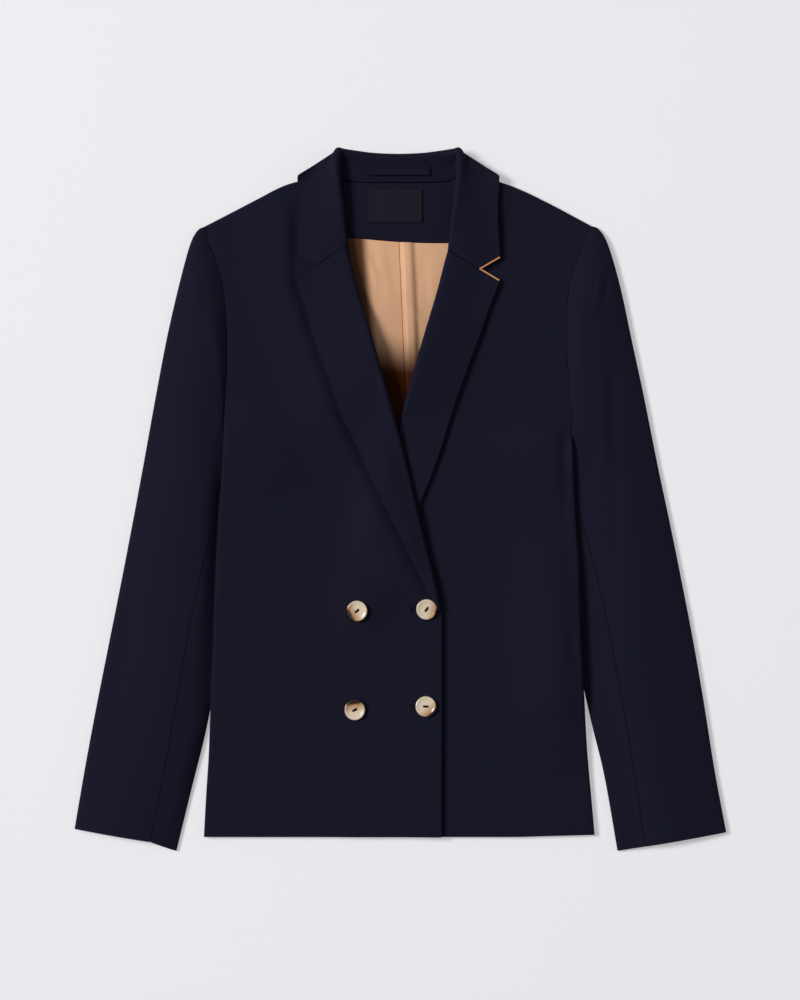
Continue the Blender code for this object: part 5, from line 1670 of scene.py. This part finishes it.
@dataclass
class Buttons:
    """Four horn buttons with a raised rim, two holes and thread through them."""

    radius: float = 10.9
    height: float = 3.4
    sides: int = 72
    sharp: float = 50.0  # degrees; an edge over this stays sharp
    hole_radius: float = 1.15
    hole_half_gap: float = 1.9
    strand: float = 0.34  # radius of a strand of thread
    strand_pitch: float = 0.51  # from one strand to the next
    strand_rise: float = 0.55  # of the strands over the button's face
    dip: Point = (1.6, 0.72)  # how far a strand goes down a hole; share where it starts to
    seat: float = 0.8  # the front is felt over this share of the radius
    places: tuple[ButtonPlace, ...] = (
        ButtonPlace("button_outer_top", -44.0, -113.0, 40, 212, 0.6),
        ButtonPlace("button_inner_top", 26.6, -111.4, 55, -15, -1.8),
        ButtonPlace("button_outer_low", -46.4, -214.0, 30, 98, 1.6),
        ButtonPlace("button_inner_low", 26.0, -210.4, 0, -48, -0.8),
    )

    # radius and height as shares, from the middle of the underside up and in
    PROFILE = (
        *((0.0, 0.0), (0.55, 0.0), (0.80, 0.02), (0.90, 0.18), (0.97, 0.40), (1.0, 0.60)),
        *((0.99, 0.78), (0.955, 0.92), (0.90, 0.99), (0.84, 1.0), (0.78, 0.96), (0.71, 0.86)),
        *((0.62, 0.78), (0.48, 0.74), (0.25, 0.72), (0.0, 0.72)),
    )

    def blank(self, name: str) -> bpy.types.Object:
        """A turned button without holes, at the origin."""
        work = bmesh.new()
        points = [
            work.verts.new((r * self.radius * MM, 0, h * self.height * MM))
            for r, h in self.PROFILE
        ]
        edges = [work.edges.new(pair) for pair in zip(points[:-1], points[1:])]
        turned = {"axis": (0, 0, 1), "cent": (0, 0, 0), "angle": TURN, "steps": self.sides}
        bmesh.ops.spin(work, geom=points + edges, use_merge=True, **turned)
        bmesh.ops.remove_doubles(work, verts=work.verts, dist=0.001 * MM)
        bmesh.ops.recalc_face_normals(work, faces=work.faces)
        return linked(name, mesh_of(work, name))

    def drill(self) -> bpy.types.Object:
        """Two pins that cut the holes."""
        work = bmesh.new()
        size = {"radius1": self.hole_radius * MM, "radius2": self.hole_radius * MM}
        size |= {"depth": 3 * self.height * MM, "segments": 20, "cap_ends": True}
        for way in (-1, 1):
            place = Matrix.Translation((way * self.hole_half_gap * MM, 0, 0))
            bmesh.ops.create_cone(work, matrix=place, **size)
        return linked("drill", mesh_of(work, "drill"))

    def strands(self) -> bpy.types.Mesh:
        """Four strands of thread from hole to hole, dipping into both."""
        curve = bpy.data.curves.new("strands", "CURVE")
        curve.dimensions = "3D"
        curve.bevel_depth = self.strand * MM
        curve.bevel_resolution = 2
        curve.use_fill_caps = True
        deep, start = self.dip
        face = self.PROFILE[-1][1] * self.height
        places = np.linspace(-1, 1, 13)
        for offset in np.array([-1.5, -0.5, 0.5, 1.5]) * self.strand_pitch:
            spline = curve.splines.new("POLY")
            spline.points.add(len(places) - 1)
            for point, place in zip(spline.points, places):
                x = place * (self.hole_half_gap + 0.35 * self.hole_radius)
                drop = deep * max(0.0, abs(place) - start) / (1 - start)
                z = face + self.strand_rise - 0.25 * abs(offset) - drop
                point.co = (x * MM, offset * (1 - 0.25 * place**2) * MM, z * MM, 1)
        holder = linked("strands", curve)
        mesh = result_of(holder)
        bpy.data.objects.remove(holder)
        return mesh

    def seat_on(self, top: HeightMap, place: ButtonPlace) -> Matrix:
        """Where a button lies: turned, leaned as the front does, and clear of it."""
        spread = np.linspace(-self.seat, self.seat, 9) * self.radius
        u, v = (way.ravel() for way in np.meshgrid(spread, spread))
        near = np.hypot(u, v) < 0.9 * self.radius
        u, v = u[near], v[near]
        under = top.at(place.x + u, place.y + v)
        plane = np.linalg.lstsq(np.stack([u, v, np.ones(len(u))], axis=1), under, rcond=None)
        a, b = plane[0][:2]
        lift = float(np.max(under - (a * u + b * v))) + LAY / 2
        lean = Vector((0, 0, 1)).rotation_difference(Vector((-a, -b, 1)))
        turn = lean @ Quaternion((0, 0, 1), math.radians(place.turn))
        seat = Matrix.Translation((place.x * MM, place.y * MM, lift * MM))
        return seat @ turn.to_matrix().to_4x4()

    def make(self, panel: Array) -> None:
        """Make the buttons on the right front's grid, each lying as the front lies."""
        top = HeightMap()
        top.add(panel, FRONT_WALL / 2)
        drill, thread = self.drill(), self.strands()
        for place in self.places:
            button = self.blank(f"{place.node}_horn")
            cut = button.modifiers.new("holes", "BOOLEAN")
            cut.operation = "DIFFERENCE"
            cut.object = drill
            cut.solver = "EXACT"
            made_plain(button)
            self.map_face(button.data, math.radians(place.dark - place.turn), place.cast)
            strands = linked(f"{place.node}_thread", thread.copy())
            for piece, finish, nodes in (
                (button, HORN, [place.node]),
                (strands, DARK_THREAD, ()),
            ):
                piece.data.transform(self.seat_on(top, place))
                piece.data.materials.clear()
                piece.data.materials.append(finish.material())
                if nodes:
                    piece.data.shade_smooth()
                    piece.data.set_sharp_from_angle(angle=math.radians(self.sharp))
                attach(piece, finish, nodes)
        bpy.data.objects.remove(drill)

    @staticmethod
    def map_face(mesh: bpy.types.Mesh, dark: float, cast: float) -> None:
        """Map each point by how far it lies towards the dark flank, and from the middle."""
        layer = mesh.uv_layers.new(name="grain")
        c, s = math.cos(dark), math.sin(dark)
        for loop, place in zip(mesh.loops, layer.data):
            x, y, _ = mesh.vertices[loop.vertex_index].co / MM
            place.uv = (x * c + y * s + cast, math.hypot(x, y))


# ---- sewing -----------------------------------------------------------------
@dataclass(frozen=True)
class Stitch:
    """The inputs of the tree that sews; each field's name is an input's name."""

    spacing: float
    length: float
    radius: float
    turn: float  # radians, from the line to the stitch
    uneven: float  # share by which the stitches differ in size


class StitchTree:
    """Geometry Nodes that set short stitches along a line."""

    def __init__(self) -> None:
        """Build the tree: resample the line, set a stitch on each point, and realize."""
        tree = bpy.data.node_groups.new("stitch_run", "GeometryNodeTree")
        self.tree, self.sockets = tree, {}
        kinds = {"geometry": "NodeSocketGeometry", "thread": "NodeSocketMaterial"}
        for name in ("geometry", *Stitch.__dataclass_fields__, "thread"):
            kind = kinds.get(name, "NodeSocketFloat")
            socket = tree.interface.new_socket(name=name, in_out="INPUT", socket_type=kind)
            self.sockets[name] = socket.identifier
        kind = kinds["geometry"]
        tree.interface.new_socket(name="geometry", in_out="OUTPUT", socket_type=kind)
        given = add_node(tree, "NodeGroupInput").node.outputs
        line = add_node(tree, "GeometryNodeMeshToCurve", {0: given["geometry"]})
        spread = {"mode": "LENGTH", "Curve": line, "Length": given["spacing"]}
        points = add_node(tree, "GeometryNodeCurveToPoints", spread)
        round_one = {"Segments": 8, "Rings": 5, "Radius": 1.0}
        ball = add_node(tree, "GeometryNodeMeshUVSphere", round_one)
        halved = {"operation": "MULTIPLY", 0: given["length"], 1: 0.5}
        half = add_node(tree, "ShaderNodeMath", halved)
        radii = {0: half, 1: given["radius"], 2: given["radius"]}
        size = add_node(tree, "ShaderNodeCombineXYZ", radii)
        stitch = add_node(tree, "GeometryNodeTransform", {"Geometry": ball, "Scale": size})
        along = {"axis": "X", "Vector": points.node.outputs["Tangent"]}
        facing = add_node(tree, "FunctionNodeAlignRotationToVector", along)
        about = add_node(tree, "ShaderNodeCombineXYZ", {2: given["turn"]})
        turn = {"rotation_space": "LOCAL", "Rotation": facing, "Rotate By": about}
        turned = add_node(tree, "FunctionNodeRotateRotation", turn)
        less = {"operation": "SUBTRACT", 0: 1.0, 1: given["uneven"]}
        low = add_node(tree, "ShaderNodeMath", less)
        spread = {"data_type": "FLOAT", "Seed": 7, 2: low, 3: 1.0}
        vary = add_node(tree, "FunctionNodeRandomValue", spread, 1)
        each = {"Points": points, "Instance": stitch, "Rotation": turned, "Scale": vary}
        placed = add_node(tree, "GeometryNodeInstanceOnPoints", each)
        real = add_node(tree, "GeometryNodeRealizeInstances", {0: placed})
        dress = {"Geometry": real, "Material": given["thread"]}
        add_node(tree, "NodeGroupOutput", {0: add_node(tree, "GeometryNodeSetMaterial", dress)})

    def run(self, name: str, lines: Sequence[Array], stitch: Stitch, thread: Finish) -> None:
        """Sew along lines.

        Args:
            name: The piece's name.
            lines: Lines of points in millimetres.
            stitch: The stitch, in millimetres.
            thread: The thread's finish.
        """
        mesh = bpy.data.meshes.new(name)
        points, edges = [], []
        for line in lines:
            edges += [(len(points) + k, len(points) + k + 1) for k in range(len(line) - 1)]
            points += (np.asarray(line) * MM).tolist()
        mesh.from_pydata(points, edges, [])
        piece = linked(name, mesh)
        sew = piece.modifiers.new("sew", "NODES")
        sew.node_group = self.tree
        for label, value in vars(stitch).items():
            sew[self.sockets[label]] = value * (1.0 if label in ("turn", "uneven") else MM)
        sew[self.sockets["thread"]] = thread.material()
        made_plain(piece)
        piece.data.shade_smooth()
        attach(piece, thread)


@dataclass
class Buttonholes:
    """The worked buttonholes of the right front: stitches along a slit, and a bar."""

    tree: StitchTree
    start: float = 10.6  # x of the outer end
    end: float = 30.0  # the other end is under the button
    ys: Point = (-111.0, -210.0)
    half: float = 1.25  # from the slit to the middle of its stitches
    bar: float = 0.6  # from the outer end to the bar
    rise: float = 0.12
    stitch: Stitch = Stitch(0.42, 2.1, 0.24, math.pi / 2, 0.18)

    def make(self, panel: Array) -> None:
        """Sew them on the right front's grid."""
        top = HeightMap()
        top.add(panel, FRONT_WALL / 2)
        lines = []
        for y in self.ys:
            x = np.linspace(self.start, self.end, 24)
            plans = [(x, y - self.half + 0 * x), (x, y + self.half + 0 * x)]
            across = np.linspace(y - self.half, y + self.half, 6)
            plans.append((self.start - self.bar + 0 * across, across))
            lines += [grid_of(x, y, top.at(x, y) + self.rise) for x, y in plans]
        self.tree.run("buttonhole_stitches", lines, self.stitch, THREAD)


# ---- the whole --------------------------------------------------------------
@dataclass
class FrontLevel:
    """How high the middle of a front's cloth lies, at x, y."""

    pattern: Pattern
    side: Side
    bed: HeightMap
    rise: float  # of the cloth's middle over the bed, where it lies flat
    roll_spring: float = 3.4  # how far a roll line stands up off the chest
    spring_ys: Point = (60.0, 120.0)  # over this it comes to do so
    belly_ys: tuple[Point, Point] = ((74.0, 134.0), (218.0, 154.0))  # BELLY comes and goes
    belly_width: float = 100.0
    edge_lift: float = 2.4  # how far the right front's edge stands up
    edge_ys: Point = (-20.0, -80.0)  # over this it comes to do so
    edge_ridge: float = 3.3  # how far the right front swells beside its lapel's edge
    ridge_ys: tuple[Point, Point] = ((-124.0, -84.0), (312.0, 282.0))
    ridge_xs: tuple[Point, Point] = ((0.0, 11.0), (62.0, 12.0))  # from the edge outwards
    flank: float = 7.0  # how far the left front swells beside its side seam
    flank_ys: tuple[Point, Point] = ((10.0, -150.0), (-290.0, -200.0))
    flank_xs: Point = (80.0, 26.0)  # from the side seam inwards, over this it rises
    flank_fall: tuple[float, float, float] = (0.4, 24.0, 0.0)  # a share, and over this

    # how much more a roll line stands up beside the lower lining
    BELLY = {Side.RIGHT: 9.0, Side.LEFT: 4.0}
    SPRING_WIDTH = {Side.RIGHT: 45.0, Side.LEFT: 60.0}

    def swell(self, x: Array, y: Array) -> Array:
        """How far the left front swells beside its side seam."""
        x, y = np.asarray(x, float), np.asarray(y, float)
        if self.side < 0:
            return 0.0 * x
        out = self.pattern.side_seam.x(Side.LEFT, y) - x
        share, start, end = self.flank_fall
        rise = ramp(out, *self.flank_xs) * (1 - share * ramp(out, start, end))
        return self.flank * rise * both(y, self.flank_ys)

    def ridge(self, x: Array, y: Array) -> Array:
        """How far the right front swells beside its lapel's edge."""
        out = self.pattern.lapel_edge.x(Side.RIGHT, y) - x
        return self.edge_ridge * both(y, self.ridge_ys) * both(out, self.ridge_xs)

    def __call__(self, x: Array, y: Array) -> Array:
        """The height at x, y."""
        x, y = np.asarray(x, float), np.asarray(y, float)
        off = self.side * (x - self.pattern.roll_line.x(self.side, np.clip(y, BREAK_Y, GORGE_Y)))
        spring = self.roll_spring * ramp(y, *self.spring_ys)
        if self.side < 0:
            spring = spring + self.edge_lift * ramp(y, *self.edge_ys)
        rise = self.rise + spring * ramp(off, self.SPRING_WIDTH[self.side], 0)
        belly = self.BELLY[self.side] * both(y, self.belly_ys)
        rise = rise + belly * ramp(off, self.belly_width, 0)
        rise = rise + (self.ridge(x, y) if self.side < 0 else self.swell(x, y))
        drape = DRAPES[f"front_{self.side.name.lower()}"]
        return self.bed.at(x, y) + rise + drape.lift(x, y)


@dataclass
class Blazer:
    """All the pieces, laid one on another."""

    pattern: Pattern = field(default_factory=Pattern)
    span: float = 12.0  # over this the back spans what it lies on
    bridge: float = 112.0  # over this it comes down from the sleeves to the floor
    front_span: float = 14.0  # over this the right front spans what it lies on
    hug: float = 0.8  # share by which the side edges come down on the sleeves
    hug_width: float = 16.0
    hug_inset: float = 2.0  # from the side seam to where they do so most
    hug_ys: tuple[Point, Point] = ((88.0, 68.0), (-195.0, -135.0))

    def base(self, collar: Collar) -> HeightMap:
        """Make the sleeves; returns a map of what the back lies on."""
        bed = HeightMap()
        for side in Side:
            Sleeve(side, self.pattern.armhole, self.pattern.side_seam).make(bed)
        collar.mark_bed(bed)
        x, y = bed.cells()
        edge = self.pattern.side_seam
        body = np.where(x < 0, -edge.x(Side.RIGHT, y), edge.x(Side.LEFT, y))
        sleeves = bed.z.copy()
        bed.z *= ramp(body - abs(x), -5.0, 1.0)
        base = bed.draped(self.span)
        base.z += LAY * smooth(base.z / 2.0)
        base = base.bridged(self.bridge)
        hug = self.hug * both(y, self.hug_ys)
        hug *= ramp(abs(body - abs(x) - self.hug_inset), self.hug_width, 0)
        base.z -= hug * np.maximum(base.z - sleeves - LAY, 0.0)
        return base

    def make(self) -> None:
        """Lay the pieces one on another."""
        pattern, collar = self.pattern, Collar(self.pattern)
        base = self.base(collar)
        back = Back(pattern).make(lambda x, y: base.at(x, y) + BACK_WALL / 2)
        NeckInside(pattern).make(back)
        left = FrontLevel(pattern, Side.LEFT, base, FRONT_RISE)
        panel, facing = Front(pattern, side=Side.LEFT, swell=left.swell).make(left, ("back",))
        stack = HeightMap(base.z + FRONT_RISE - FRONT_WALL / 2 - LAY)
        stack.add(panel[:, 12:], FRONT_WALL / 2, lambda x, y: y < GORGE_Y)
        stack.add(facing, FACING_WALL / 2, lambda x, y: y < GORGE_Y)
        lain = stack.draped(self.front_span)
        right = FrontLevel(pattern, Side.RIGHT, lain, LAY + FRONT_WALL / 2)
        over = ("back", "front_left", "lapel_facing_left")
        panel, _ = Front(pattern, side=Side.RIGHT).make(right, over)
        collar.make(base, {Side.RIGHT: right, Side.LEFT: left})
        Buttons().make(panel)
        Buttonholes(StitchTree()).make(panel)


# ---- the studio -------------------------------------------------------------
@dataclass
class Studio:
    """A pale floor, soft light from the upper left, and a camera straight above."""

    view_height: float = 1.020  # metres of floor from the top to the bottom of the frame
    lens: float = 100.0
    sensor: float = 36.0
    centre: Point = (-0.0004, -0.0003)
    table: float = 0.005  # height in metres that the view height is measured at
    sky: tuple[str, float] = ("f2f3f6", 0.13)  # its colour and strength
    # name, place and aim in metres, length of a side in metres, watts, colour
    lights: tuple[tuple[str, Place, Place, float, float, str], ...] = (
        ("key_light", (-6.44, 1.96, 6.16), (1.6, -0.3, 0.0), 2.8, 692.0, "ffffff"),
        ("fill_light", (2.6, 0.2, 1.5), (0.0, 0.0, 0.0), 1.6, 9.0, "f6f8ff"),
        ("top_light", (0.0, 0.3, 3.4), (0.0, 0.0, 0.0), 2.4, 8.0, "ffffff"),
    )

    def make(self) -> None:
        """Make the floor, the lights, the sky and the camera."""
        work = bmesh.new()
        bmesh.ops.create_grid(work, x_segments=8, y_segments=8, size=6.0)
        mesh = mesh_of(work, "floor")
        mesh.materials.append(PaintedFloor().material())
        linked("floor", mesh)
        for name, place, aim, size, watts, tint in self.lights:
            light = bpy.data.lights.new(name, "AREA")
            light.shape = "SQUARE"
            light.size = size
            light.energy = watts
            light.color = linear(tint)[:3]
            holder = linked(name, light)
            holder.location = place
            way = Vector(aim) - Vector(place)
            holder.rotation_euler = way.to_track_quat("-Z", "Y").to_euler()
        scene = bpy.context.scene
        scene.world = bpy.data.worlds.new("studio")
        scene.world.use_nodes = True
        background = scene.world.node_tree.nodes["Background"]
        background.inputs["Color"].default_value = linear(self.sky[0])
        background.inputs["Strength"].default_value = self.sky[1]
        eye = bpy.data.cameras.new("camera")
        eye.type = "PERSP"
        eye.lens = self.lens
        eye.sensor_width = self.sensor
        eye.dof.use_dof = False
        scene.camera = linked("camera", eye)
        distance = self.view_height * self.lens / self.sensor
        scene.camera.location = (*self.centre, distance + self.table)
        scene.view_settings.view_transform = "Standard"


def main() -> None:
    """Build the blazer and the studio round it."""
    logging.basicConfig(level=logging.INFO, format="%(message)s")
    Blazer().make()
    Studio().make()


if __name__ == "__main__":
    main()
